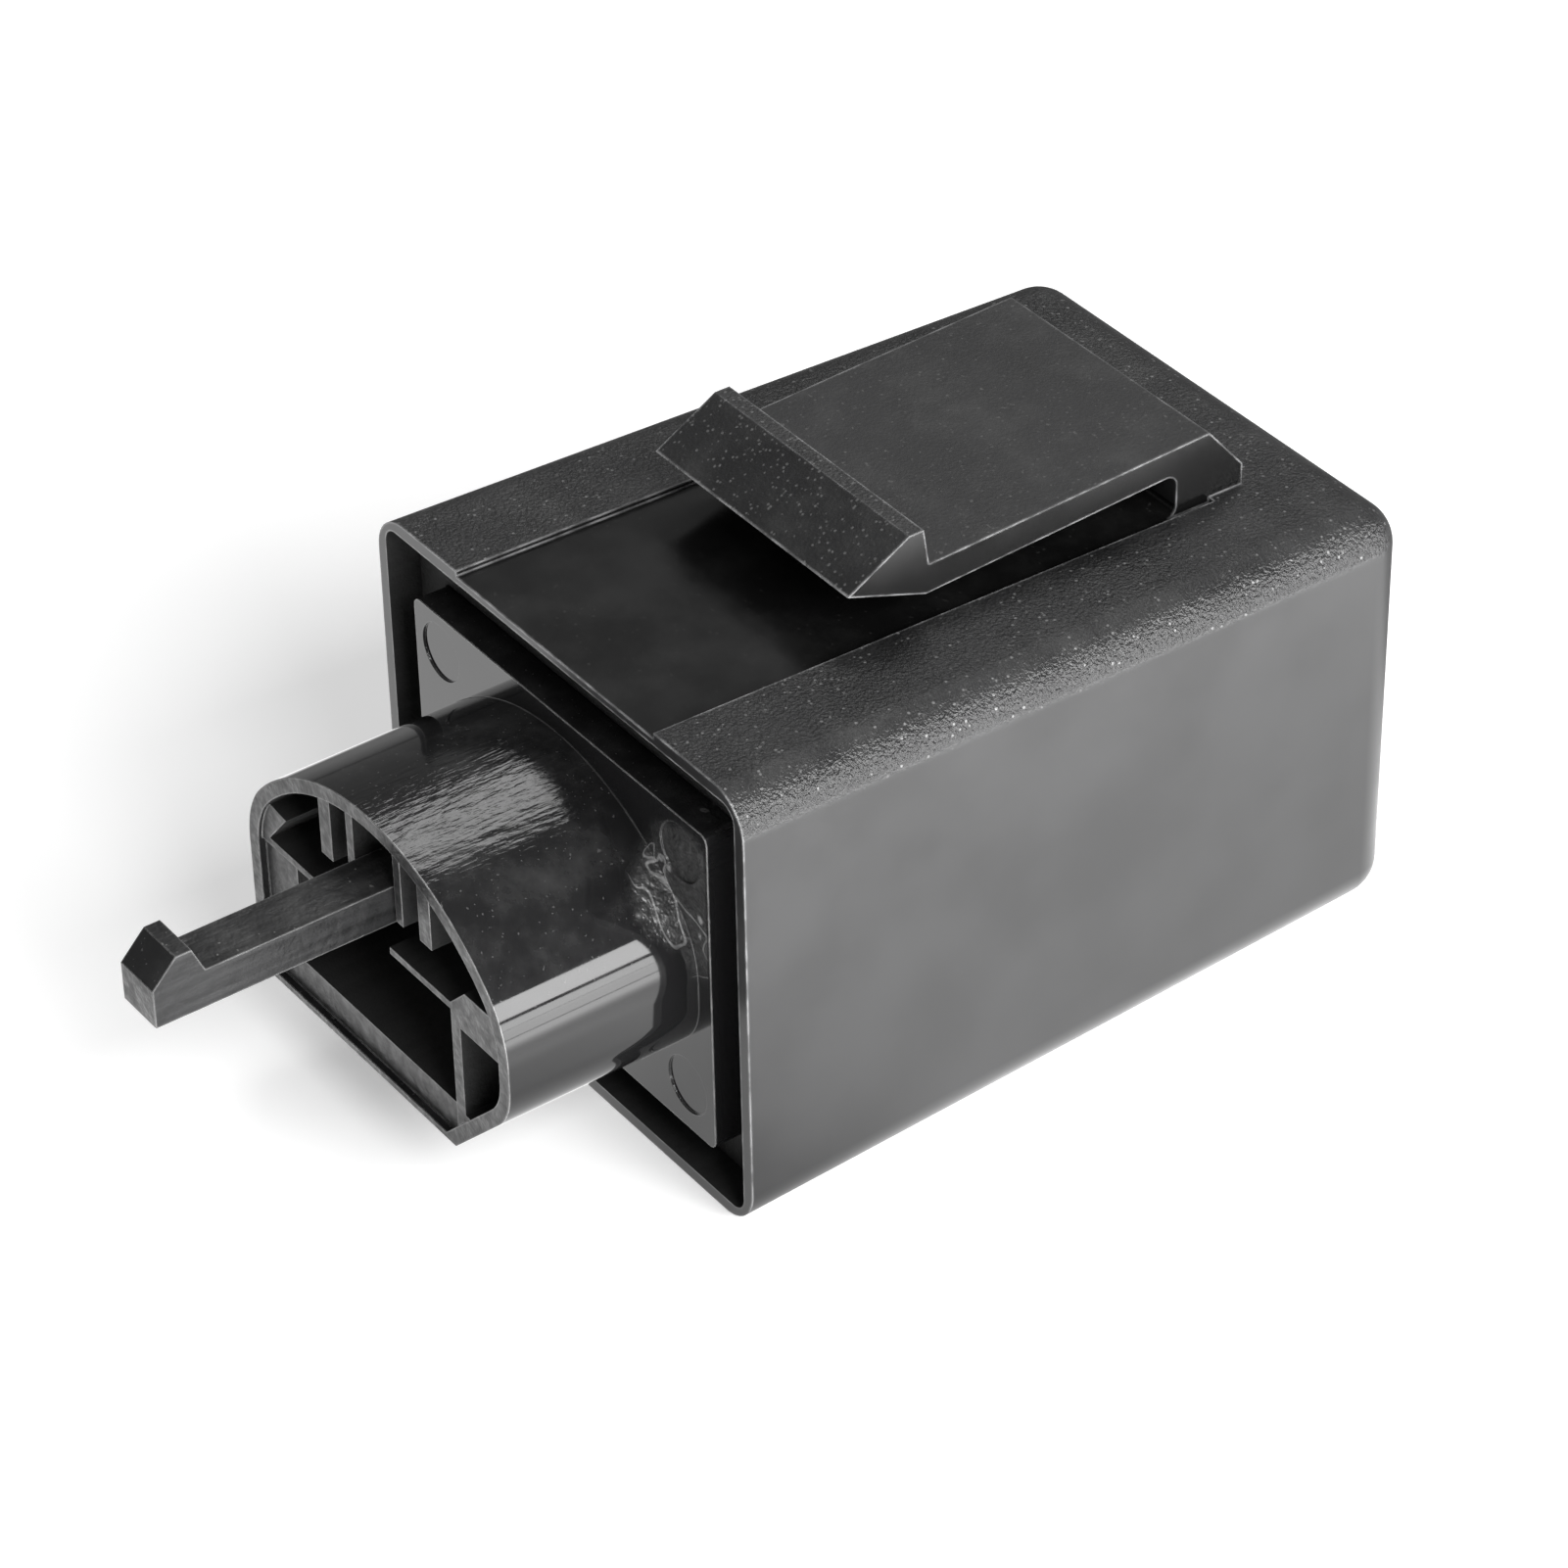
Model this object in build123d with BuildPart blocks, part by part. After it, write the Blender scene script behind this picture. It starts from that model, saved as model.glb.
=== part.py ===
from build123d import *
import math
import os

# Plug-in automotive relay: a potted moulded case with a bracket clip on top, a plug shroud
# with a long lock arm in front, and a relay on a circuit board sealed inside.
# Millimetres. The origin is the centre of the case's open rim. +X is the relay's right as
# seen from behind the plug, -Y points out of the plug, +Z is up, towards the bracket clip.

os.makedirs("parts", exist_ok=True)

# Case
case_width = 30.0
case_height = 25.2
case_length = 40.2
case_wall = 0.7
end_wall = 1.2
side_draft = 0.8  # each side leans in by this much from the rim to the closed end
top_draft = 1.0  # top and bottom lean in by this much
outer_edge_radius = 2.25
inner_edge_radius = 0.9

# Bracket clip on the case's top
clip_width = 15.4
channel_width = 16.2
channel_depth = 0.3
clip_tip_y = 11.3
clip_tip_height = 2.7
ridge_front_y = 14.85
ridge_width = 0.85
ridge_height = 4.75
nose_back_y = 15.8
tongue_gap_front = 1.15
tongue_gap_back = 2.1
tongue_thickness = 1.6
clip_back_y = 34.9
clip_root_length = 4.1
clip_back_slope = 2.1
clip_back_step = 1.2
slot_end_radius = 0.6
nose_undercut = 0.2

# Connector base: a plate in the case's mouth, with the plug shroud in front of it
plate_width = 24.2
plate_height = 18.5
plate_middle_z = -0.25  # the plate sits a little low in the case
plate_depth = 4.0
plate_edge_radius = 0.5
flange_depth = 1.2
flange_gap = 0.25
shroud_width = 22.2
shroud_rise = 7.95  # from the centre line up to the crown
shroud_drop = 7.8  # from the centre line down to the flat bottom
shroud_length = 10.6
shroud_wall = 0.8
foot_wall = 2.2
foot_lip = 0.35  # the lip is thinner along the foot
lip_depth = 0.25  # the shroud's edge stands this far in front of the partitions
land_depth = 0.2  # the foot's front and the solid left part lie deeper by this much
shoulder_radius = 5.5
key_corner_drop = 2.8  # the slanted lower right corner starts this far below the centre line
key_slant = 45.0
key_corner_radius = 3.6
foot_corner_radius = 0.8
ejector_radius = 1.55
ejector_depth = 0.12
ejector_x = 9.9
ejector_z = 6.9

# Partitions in the plug
divider_top = 0.7
divider_thickness = 0.4
divider_notch_width = 1.8
divider_notch_depth = 4.0
left_block_x = -7.55  # right side of the solid part at the left of the lower chamber
side_wall_x = 6.0
side_wall_thickness = 0.75
roof_rib_x = 4.2
roof_rib_thickness = 1.0
roof_rib_bottom = 2.85
guard_rib_x = 2.0
guard_rib_thickness = 0.6
guard_rib_bottom = 2.7
wedge_top = 3.1
wedge_tip_drop = 0.4
wedge_reach = 2.4
wedge_foot_reach = 0.7
key_block_height = 1.3
key_block_drop = 1.1  # from the divider's top down to the block's underside
key_block_ramp = 1.3

# Lock arm
arm_width = 2.8
arm_bottom = 2.4
arm_height = 2.1
arm_reach = 23.1
hook_rise = 1.4
hook_slope = 1.35
hook_flat = 0.85
hook_back_slope = 0.6

# Terminal blades
blade_width = 2.8
blade_thickness = 0.8
blade_tip_depth = 4.6  # how far the tips stay behind the shroud's front edge
blade_tip_bevel = 0.25
blade_clearance = 0.04
upper_blade_x = 6.4
upper_blade_z = 3.2
lower_blade_first_x = -6.9
lower_blade_pitch = 3.6
lower_blade_count = 4
lower_blade_z = -3.1
side_blade_x = 8.3
side_blade_z = -1.9

# Circuit board, parallel to the plate
board_clearance = 1.3  # between the board's edges and the case's walls
board_thickness = 1.2
board_gap = 2.6  # from the back of the base flange
board_margin = 0.5  # between the board's edge and what stands on the board
board_corner_radius = 1.0
board_hole_clearance = 0.15
blade_tail = 0.9
post_size = 2.6
post_pin_radius = 0.6
post_inset = 1.7
post_pin_clearance = 0.05

# Relay on the board
yoke_thickness = 1.5
yoke_width = 8.0
yoke_pin_size = 1.0
yoke_pin_x = 2.0
coil_length = 15.0
flange_size = 10.8
bobbin_flange = 0.9
bobbin_tube_wall = 0.7
flange_corner_radius = 1.0
core_radius = 2.0
pole_radius = 3.4
pole_thickness = 1.0
winding_radius = 5.0
fit_gap = 0.05
yoke_leg_gap = 0.3
pole_gap = 0.6  # open gap between armature and pole
armature_thickness = 1.3
armature_width = 8.0
armature_drop = 6.2
bearing_gap = 0.3
leaf_thickness = 0.3
leaf_width = 4.0
leaf_top = 1.8
leaf_reach = 3.2
rivet_radius = 0.6
rivet_head_radius = 0.95
rivet_head = 0.35
contact_radius = 1.1
contact_thickness = 0.6
contact_gap = 0.85
contact_strip = 0.6
contact_strip_width = 3.0
stop_arm_x = 4.6

# Return spring, a leaf on the yoke's leg that bends down behind the armature
spring_width = 3.0
spring_thickness = 0.3
spring_reach = 8.0
spring_drop = 3.5
spring_clearance = 0.3
stake_size = 1.2

# Components on the board
lead_standoff = 1.2  # more than the blades' tails, so that what stands here clears them
lead_radius = 0.3
coil_pin_size = 0.6
coil_pin_x = 4.8
coil_pin_z = 0.4
capacitor_radius = 2.6
capacitor_length = 11.0
capacitor_z = -5.6
capacitor_spread = 1.4
can_bevel = 0.35
resistor_radius = 1.0
resistor_length = 4.4
resistor_z = 2.9
diode_radius = 1.2
diode_length = 4.2
diode_z = -8.4
lead_overhang = 1.0
barrel_bevel = 0.3
transistor_width = 4.6
transistor_depth = 3.4
transistor_height = 8.4
transistor_z = -4.6
transistor_bevel = 0.5
transistor_lead_size = 0.6
transistor_spread = 1.4
chip_width = 6.2
chip_height = 5.0
chip_thickness = 1.5
chip_pin_width = 0.35
chip_pin_thickness = 0.2
chip_pin_pitch = 1.27
chip_pin_count = 4
chip_pin_reach = 0.9
chip_foot = 0.5
chip_standoff = 0.2
chip_z = 5.6
chip_bevel = 0.2

# Sealing compound
compound_recess = 1.8
compound_gap = 0.03


def station(y):
    """Plane across the relay, y millimetres behind the rim; its extrusions run to -Y."""
    return Plane.XZ.offset(-y)


def top_of_case(y):
    """Height of the case's leaning top face at y."""
    return case_height / 2 - top_draft * y / case_length


def case_size(y, inset):
    """Width and height of the leaning case at y, inset from its outside."""
    lean = y / case_length
    width = case_width - 2 * side_draft * lean - 2 * inset
    height = case_height - 2 * top_draft * lean - 2 * inset
    return width, height


def inner_section(y, inset):
    """Rounded rectangle across the inside of the case at y."""
    RectangleRounded(*case_size(y, inset), inner_edge_radius)


def drafted_block(inset, front, back):
    """Block from station front to back that leans as the case does, inset from its outside."""
    front_width, front_height = case_size(front, inset)
    back_width, back_height = case_size(back, inset)
    with BuildPart() as block:
        with BuildSketch(Plane.XY):
            Polygon(
                (-front_width / 2, front),
                (front_width / 2, front),
                (back_width / 2, back),
                (-back_width / 2, back),
                align=None,
            )
        extrude(amount=front_height, both=True)
        with BuildSketch(Plane.YZ):
            Polygon(
                (front, -front_height / 2),
                (back, -back_height / 2),
                (back, back_height / 2),
                (front, front_height / 2),
                align=None,
            )
        extrude(amount=front_width, both=True, mode=Mode.INTERSECT)
    return block.part


def hollow_block(inset, front, back):
    """The same block with its long edges rounded as they are inside the case."""
    with BuildPart() as block:
        add(drafted_block(inset, front, back))
        ends = block.faces().sort_by(Axis.Y)
        fillet(block.edges() - ends[0].edges() - ends[-1].edges(), inner_edge_radius)
    return block.part


def shroud_outline(inset, foot_inset):
    """Plug outline: flat foot, upright sides, arched crown and one slanted key corner."""
    half = shroud_width / 2 - inset
    rise = shroud_rise - inset
    foot = foot_inset - shroud_drop
    shoulder = shoulder_radius - inset
    crown = ((half - shoulder) ** 2 + rise**2 - shoulder**2) / (2 * (rise - shoulder))
    turn = math.degrees(math.atan2(crown - rise, half - shoulder))
    corner_z = math.tan(math.radians(key_slant / 2)) * inset - key_corner_drop
    corner_x = half - (corner_z - foot) / math.tan(math.radians(key_slant))
    with BuildSketch() as outline:
        with BuildLine():
            left = Line((-half, foot), (-half, 0))
            left_arc = JernArc(left @ 1, (0, 1), shoulder, -turn)
            crown_arc = JernArc(left_arc @ 1, left_arc % 1, crown, 2 * turn - 180)
            right_arc = JernArc(crown_arc @ 1, crown_arc % 1, shoulder, -turn)
            Polyline(right_arc @ 1, (half, corner_z), (corner_x, foot), (-half, foot))
        make_face()
        corners = outline.vertices().sort_by(Axis.Y)
        fillet(corners[2], key_corner_radius - inset)
        fillet(corners[:2], foot_corner_radius)
    return outline.sketch


# Outer case with the bracket clip, one moulding
with BuildPart() as outer_case:
    add(drafted_block(0, 0, case_length))
    rim_edges = outer_case.faces().sort_by(Axis.Y)[0].edges()
    fillet(outer_case.edges() - rim_edges, outer_edge_radius)

    # Shallow channel for the bracket, along the top from the rim to the clip's root
    channel_end = clip_back_y - clip_root_length / 2
    with BuildSketch(Plane.YZ):
        Polygon(
            (0, top_of_case(0) - channel_depth),
            (channel_end, top_of_case(channel_end) - channel_depth),
            (channel_end, top_of_case(0)),
            (0, top_of_case(0)),
            align=None,
        )
    extrude(amount=channel_width / 2, both=True, mode=Mode.SUBTRACT)

    # Clip: a root near the closed end and a tongue that reaches forward to a wedge nose
    root_front = clip_back_y - clip_root_length
    tongue_top_front = tongue_gap_front + tongue_thickness
    tongue_top_back = tongue_gap_back + tongue_thickness
    crease_y = clip_back_y - clip_back_slope
    clip_sink = channel_depth + case_wall / 2
    with BuildSketch(Plane.YZ):
        with BuildLine():
            Polyline(
                (clip_tip_y, top_of_case(clip_tip_y) + clip_tip_height),
                (ridge_front_y, top_of_case(ridge_front_y) + ridge_height),
                (ridge_front_y + ridge_width, top_of_case(ridge_front_y) + ridge_height),
                (nose_back_y + nose_undercut, top_of_case(nose_back_y) + tongue_top_front),
                (crease_y, top_of_case(crease_y) + tongue_top_back),
                (clip_back_y, top_of_case(clip_back_y) + clip_back_step),
                (clip_back_y, top_of_case(clip_back_y) - clip_sink),
                (root_front, top_of_case(root_front) - clip_sink),
                (root_front, top_of_case(root_front) + tongue_gap_back),
                (nose_back_y, top_of_case(nose_back_y) + tongue_gap_front),
                (clip_tip_y, top_of_case(clip_tip_y) + clip_tip_height),
            )
        make_face()
    extrude(amount=clip_width / 2, both=True)
    slot_middle = (0, root_front, top_of_case(root_front) + tongue_gap_back / 2)
    slot_end = outer_case.edges().filter_by(Axis.X).sort_by_distance(slot_middle)[:2]
    fillet(slot_end, slot_end_radius)

    # Hollow, open at the rim
    add(hollow_block(case_wall, 0, case_length - end_wall), mode=Mode.SUBTRACT)
outer_case.part.label = "outer_case"

# Places of the blades in the plug, as (x, z)
lower_blades = [
    (lower_blade_first_x + lower_blade_pitch * i, lower_blade_z) for i in range(lower_blade_count)
]
blade_places = [
    (-upper_blade_x, upper_blade_z),
    (upper_blade_x, upper_blade_z),
    *lower_blades,
    (side_blade_x, side_blade_z),
]
flange_front = plate_depth
flange_back = plate_depth + flange_depth
board_front = flange_back + board_gap
board_back = board_front + board_thickness
board_width, board_height = case_size(board_back, case_wall + board_clearance)
post_x = board_width / 2 - post_inset
post_z = board_height / 2 - post_inset
post_places = [(x, z) for x in (-post_x, post_x) for z in (-post_z, post_z)]

# Connector base: plate, flange, plug shroud, lock arm and board posts, one moulding
with BuildPart() as connector_base:
    with BuildSketch(station(0)):
        with Locations((0, plate_middle_z)):
            RectangleRounded(plate_width, plate_height, plate_edge_radius)
    extrude(amount=-flange_back)
    with BuildSketch(station(flange_front)):
        inner_section(flange_back, case_wall + flange_gap)
    extrude(amount=-flange_depth)
    with BuildSketch(station(0)):
        add(shroud_outline(0, 0))
    extrude(amount=shroud_length)
    with BuildSketch(station(-shroud_length)):
        add(shroud_outline(shroud_wall, foot_lip))
    extrude(amount=-lip_depth, mode=Mode.SUBTRACT)

    # Sunk land: the front of the foot and of the solid left part
    land_top = divider_top - divider_thickness
    with BuildSketch(station(-shroud_length)):
        add(shroud_outline(shroud_wall, foot_lip))
        with Locations((left_block_x, foot_wall - shroud_drop)):
            Rectangle(shroud_width, shroud_rise, align=(Align.MIN, Align.MIN), mode=Mode.SUBTRACT)
        with Locations((0, land_top)):
            Rectangle(
                shroud_width, shroud_rise, align=(Align.CENTER, Align.MIN), mode=Mode.SUBTRACT
            )
        with Locations((side_wall_x, land_top)):
            Rectangle(
                shroud_width, 2 * shroud_drop, align=(Align.MIN, Align.MAX), mode=Mode.SUBTRACT
            )
    extrude(amount=-(lip_depth + land_depth), mode=Mode.SUBTRACT)

    # Pockets of the plug: the inner outline less the partitions
    half_inside = shroud_width / 2 - shroud_wall
    key_top = divider_top + key_block_height
    with BuildSketch(station(-shroud_length)):
        add(shroud_outline(shroud_wall, foot_wall))
        with Locations((0, divider_top)):
            Rectangle(
                shroud_width, divider_thickness, align=(Align.CENTER, Align.MAX), mode=Mode.SUBTRACT
            )
        with Locations((side_wall_x, divider_top)):
            Rectangle(
                side_wall_thickness,
                shroud_rise + shroud_drop,
                align=(Align.MIN, Align.MAX),
                mode=Mode.SUBTRACT,
            )
        with Locations((left_block_x, divider_top)):
            Rectangle(
                shroud_width / 2,
                shroud_rise + shroud_drop,
                align=(Align.MAX, Align.MAX),
                mode=Mode.SUBTRACT,
            )
        for x in (-roof_rib_x, roof_rib_x):
            with Locations((x, roof_rib_bottom)):
                Rectangle(
                    roof_rib_thickness,
                    shroud_rise,
                    align=(Align.CENTER, Align.MIN),
                    mode=Mode.SUBTRACT,
                )
        for x in (-guard_rib_x, guard_rib_x):
            with Locations((x, guard_rib_bottom)):
                Rectangle(
                    guard_rib_thickness,
                    shroud_rise,
                    align=(Align.CENTER, Align.MIN),
                    mode=Mode.SUBTRACT,
                )
        Polygon(
            (-shroud_width / 2, wedge_top),
            (wedge_reach - half_inside, wedge_top - wedge_tip_drop),
            (wedge_foot_reach - half_inside, divider_top),
            (-shroud_width / 2, divider_top),
            align=None,
            mode=Mode.SUBTRACT,
        )
        Polygon(
            (side_wall_x, divider_top),
            (side_wall_x + key_block_ramp, key_top),
            (shroud_width / 2, key_top),
            (shroud_width / 2, divider_top - key_block_drop),
            (side_wall_x, divider_top - key_block_drop),
            align=None,
            mode=Mode.SUBTRACT,
        )
    extrude(amount=-shroud_length, mode=Mode.SUBTRACT)

    # Notch in the divider's front edge, under the arm
    with BuildSketch(station(-shroud_length)):
        with Locations((0, divider_top)):
            Rectangle(divider_notch_width, divider_thickness, align=(Align.CENTER, Align.MAX))
    extrude(amount=-divider_notch_depth, mode=Mode.SUBTRACT)

    # Lock arm, a square bar from the plate with a hooked tip
    arm_top = arm_bottom + arm_height
    hook_top = arm_top + hook_rise
    with BuildSketch(Plane.YZ):
        with BuildLine():
            Polyline(
                (plate_depth / 2, arm_bottom),
                (-arm_reach, arm_bottom),
                (-arm_reach, arm_top),
                (hook_slope - arm_reach, hook_top),
                (hook_slope + hook_flat - arm_reach, hook_top),
                (hook_slope + hook_flat + hook_back_slope - arm_reach, arm_top),
                (plate_depth / 2, arm_top),
                (plate_depth / 2, arm_bottom),
            )
        make_face()
    extrude(amount=arm_width / 2, both=True)

    # Ejector marks in the plate's three open corners
    ejector_places = [(-ejector_x, ejector_z), (ejector_x, ejector_z), (ejector_x, -ejector_z)]
    with BuildSketch(station(0)):
        with Locations(*ejector_places):
            Circle(ejector_radius)
    extrude(amount=-ejector_depth, mode=Mode.SUBTRACT)

    # Posts for the board, each with a pin that goes through it
    with BuildSketch(station(flange_back)):
        with Locations(*post_places):
            Rectangle(post_size, post_size)
    extrude(amount=-board_gap)
    with BuildSketch(station(board_front)):
        with Locations(*post_places):
            Circle(post_pin_radius)
    extrude(amount=-(board_thickness + post_pin_radius))

    # Slots that the blades stand in
    with BuildSketch(station(0)):
        with Locations(*blade_places):
            Rectangle(blade_thickness + 2 * blade_clearance, blade_width + 2 * blade_clearance)
    extrude(amount=-flange_back, mode=Mode.SUBTRACT)
connector_base.part.label = "connector_base"

# Terminal blades, one for each pocket place, straight through the plate and the board
blade_tip = blade_tip_depth - shroud_length
blades = []
for number, place in enumerate(blade_places, start=1):
    with BuildPart() as terminal_blade:
        with BuildSketch(station(blade_tip)):
            with Locations(place):
                Rectangle(blade_thickness, blade_width)
        extrude(amount=blade_tip - board_back - blade_tail)
        tip_edges = terminal_blade.faces().sort_by(Axis.Y)[0].edges()
        chamfer(tip_edges.filter_by(Axis.Z), blade_tip_bevel)
    terminal_blade.part.label = f"terminal_blade_{number}"
    blades.append(terminal_blade)

# Sealing compound, poured round the plate onto the flange
with BuildPart() as sealing_compound:
    add(hollow_block(case_wall + compound_gap, compound_recess, flange_front))
    with BuildSketch(station(compound_recess)):
        with Locations((0, plate_middle_z)):
            RectangleRounded(
                plate_width + 2 * compound_gap, plate_height + 2 * compound_gap, plate_edge_radius
            )
    extrude(amount=compound_recess - flange_front, mode=Mode.SUBTRACT)
sealing_compound.part.label = "sealing_compound"

# Circuit board
contact_z = -armature_drop - leaf_reach + contact_radius
strip_z = contact_z - contact_radius - contact_strip / 2
coil_pin_places = [(-coil_pin_x, coil_pin_z), (coil_pin_x, coil_pin_z)]
yoke_pin_z = (flange_size - yoke_pin_size) / 2
yoke_pin_places = [(x, z) for x in (-yoke_pin_x, yoke_pin_x) for z in (-yoke_pin_z, yoke_pin_z)]
capacitor_x = board_width / 2 - board_margin - capacitor_radius
resistor_x = board_margin + resistor_radius - board_width / 2
transistor_x = board_margin + (transistor_depth - board_width) / 2
capacitor_leads = [
    (capacitor_x - capacitor_spread, capacitor_z),
    (capacitor_x + capacitor_spread, capacitor_z),
]
transistor_leads = [
    (transistor_x, transistor_z - transistor_spread),
    (transistor_x, transistor_z),
    (transistor_x, transistor_z + transistor_spread),
]
resistor_lead_reach = resistor_length / 2 + lead_overhang
diode_lead_reach = diode_length / 2 + lead_overhang
diode_x = post_size / 2 + board_margin + lead_radius + diode_lead_reach - post_x
bent_leads = [
    (resistor_x, resistor_z - resistor_lead_reach),
    (resistor_x, resistor_z + resistor_lead_reach),
    (diode_x - diode_lead_reach, diode_z),
    (diode_x + diode_lead_reach, diode_z),
]
with BuildPart() as circuit_board:
    with BuildSketch(station(board_front)):
        RectangleRounded(board_width, board_height, board_corner_radius)
        with Locations(*blade_places):
            Rectangle(
                blade_thickness + 2 * board_hole_clearance,
                blade_width + 2 * board_hole_clearance,
                mode=Mode.SUBTRACT,
            )
        with Locations(*post_places):
            Circle(post_pin_radius + post_pin_clearance, mode=Mode.SUBTRACT)
        with Locations(*capacitor_leads, *bent_leads):
            Circle(lead_radius + board_hole_clearance, mode=Mode.SUBTRACT)
        square_holes = (
            (coil_pin_size, coil_pin_places),
            (yoke_pin_size, yoke_pin_places),
            (transistor_lead_size, transistor_leads),
        )
        for size, places in square_holes:
            hole_size = size + 2 * board_hole_clearance
            with Locations(*places):
                Rectangle(hole_size, hole_size, mode=Mode.SUBTRACT)
    extrude(amount=-board_thickness)
circuit_board.part.label = "circuit_board"

# Yoke: a foot on the board, a leg over the coil
yoke_front = board_back + lead_standoff
coil_front = yoke_front + yoke_thickness + fit_gap
coil_back = coil_front + coil_length
leg_bottom = flange_size / 2 + yoke_leg_gap
leg_top = leg_bottom + yoke_thickness
pole_face = coil_back + pole_thickness + fit_gap
armature_front = pole_face + pole_gap
leg_end = armature_front - bearing_gap
with BuildPart() as yoke:
    with BuildSketch(Plane.YZ):
        with BuildLine():
            Polyline(
                (yoke_front, -flange_size / 2),
                (yoke_front, leg_top),
                (leg_end, leg_top),
                (leg_end, leg_bottom),
                (yoke_front + yoke_thickness, leg_bottom),
                (yoke_front + yoke_thickness, -flange_size / 2),
                (yoke_front, -flange_size / 2),
            )
        make_face()
    extrude(amount=yoke_width / 2, both=True)
    bend = yoke.edges().filter_by(Axis.X).sort_by_distance((0, yoke_front, leg_top))[0]
    fillet(bend, yoke_thickness)
    with BuildSketch(station(yoke_front)):
        Circle(core_radius + fit_gap)
    extrude(amount=-yoke_thickness, mode=Mode.SUBTRACT)
    # Four pins that stand the relay on the board
    with BuildSketch(station(board_front)):
        with Locations(*yoke_pin_places):
            Rectangle(yoke_pin_size, yoke_pin_size)
    extrude(amount=board_front - yoke_front)
    # Stake that holds the return spring on the leg
    with BuildSketch(Plane.XY.offset(leg_top)):
        with Locations((0, leg_end - spring_reach / 2)):
            Rectangle(stake_size, stake_size)
    extrude(amount=2 * spring_thickness)
yoke.part.label = "yoke"

# Core with its pole head
with BuildPart() as core:
    with BuildSketch(station(yoke_front)):
        Circle(core_radius)
    extrude(amount=yoke_front - coil_back - fit_gap)
    with BuildSketch(station(coil_back + fit_gap)):
        Circle(pole_radius)
    extrude(amount=-pole_thickness)
core.part.label = "core"

# Coil bobbin and its winding
tube_radius = core_radius + fit_gap + bobbin_tube_wall
with BuildPart() as coil_bobbin:
    with BuildSketch(station(coil_front)):
        Circle(tube_radius)
    extrude(amount=-coil_length)
    with BuildSketch(station(coil_front), station(coil_back - bobbin_flange)):
        RectangleRounded(flange_size, flange_size, flange_corner_radius)
    extrude(amount=-bobbin_flange)
    with BuildSketch(station(coil_front)):
        Circle(core_radius + fit_gap)
    extrude(amount=-coil_length, mode=Mode.SUBTRACT)
coil_bobbin.part.label = "coil_bobbin"

with BuildPart() as coil_winding:
    winding_front = coil_front + bobbin_flange + fit_gap
    with BuildSketch(station(winding_front)):
        Circle(winding_radius)
        Circle(tube_radius + fit_gap, mode=Mode.SUBTRACT)
    extrude(amount=2 * (bobbin_flange + fit_gap) - coil_length)
coil_winding.part.label = "coil_winding"

# Armature: a plate that swings on the end of the yoke's leg
armature_back = armature_front + armature_thickness
rivet_places = [(0, -leaf_top), (0, rivet_head_radius - armature_drop)]
with BuildPart() as armature:
    armature_top = leg_top - spring_clearance
    with BuildSketch(station(armature_front)):
        with Locations((0, armature_top)):
            Rectangle(
                armature_width, armature_top + armature_drop, align=(Align.CENTER, Align.MAX)
            )
        with Locations(*rivet_places):
            Circle(rivet_radius + fit_gap, mode=Mode.SUBTRACT)
    extrude(amount=-armature_thickness)
armature.part.label = "armature"

# Contact leaf, riveted to the armature's back
leaf_front = armature_back
leaf_bottom = contact_z - contact_radius
with BuildPart() as contact_leaf:
    with BuildSketch(station(leaf_front)):
        Rectangle(leaf_width, -leaf_bottom, align=(Align.CENTER, Align.MAX))
        with Locations(*rivet_places, (0, contact_z)):
            Circle(rivet_radius + fit_gap, mode=Mode.SUBTRACT)
    extrude(amount=-leaf_thickness)
contact_leaf.part.label = "contact_leaf"

with BuildPart() as leaf_rivets:
    with BuildSketch(station(armature_front)):
        with Locations(*rivet_places):
            Circle(rivet_radius)
    extrude(amount=-(armature_thickness + leaf_thickness))
    with BuildSketch(station(leaf_front + leaf_thickness)):
        with Locations(*rivet_places):
            Circle(rivet_head_radius)
    extrude(amount=-rivet_head)
leaf_rivets.part.label = "leaf_rivets"

# Moving contact: a double-faced button through the leaf
button_front = leaf_front - contact_thickness
button_back = leaf_front + leaf_thickness + contact_thickness
with BuildPart() as moving_contact:
    with BuildSketch(station(button_front), station(leaf_front + leaf_thickness)):
        with Locations((0, contact_z)):
            Circle(contact_radius)
    extrude(amount=-contact_thickness)
    with BuildSketch(station(button_front)):
        with Locations((0, contact_z)):
            Circle(rivet_radius)
    extrude(amount=button_front - button_back)
moving_contact.part.label = "moving_contact"

# Working contact: a strip from the board, bent up in front of the moving contact
work_face = button_front - contact_gap
with BuildPart() as working_contact:
    with BuildSketch(Plane.YZ):
        with BuildLine():
            strip_end = work_face - contact_thickness
            Polyline(
                (board_back, strip_z - contact_strip / 2),
                (strip_end, strip_z - contact_strip / 2),
                (strip_end, contact_z + contact_radius),
                (strip_end - contact_strip, contact_z + contact_radius),
                (strip_end - contact_strip, strip_z + contact_strip / 2),
                (board_back, strip_z + contact_strip / 2),
                (board_back, strip_z - contact_strip / 2),
            )
        make_face()
    extrude(amount=contact_strip_width / 2, both=True)
    with BuildSketch(station(work_face)):
        with Locations((0, contact_z)):
            Circle(contact_radius)
    extrude(amount=contact_thickness)
working_contact.part.label = "working_contact"

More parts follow.
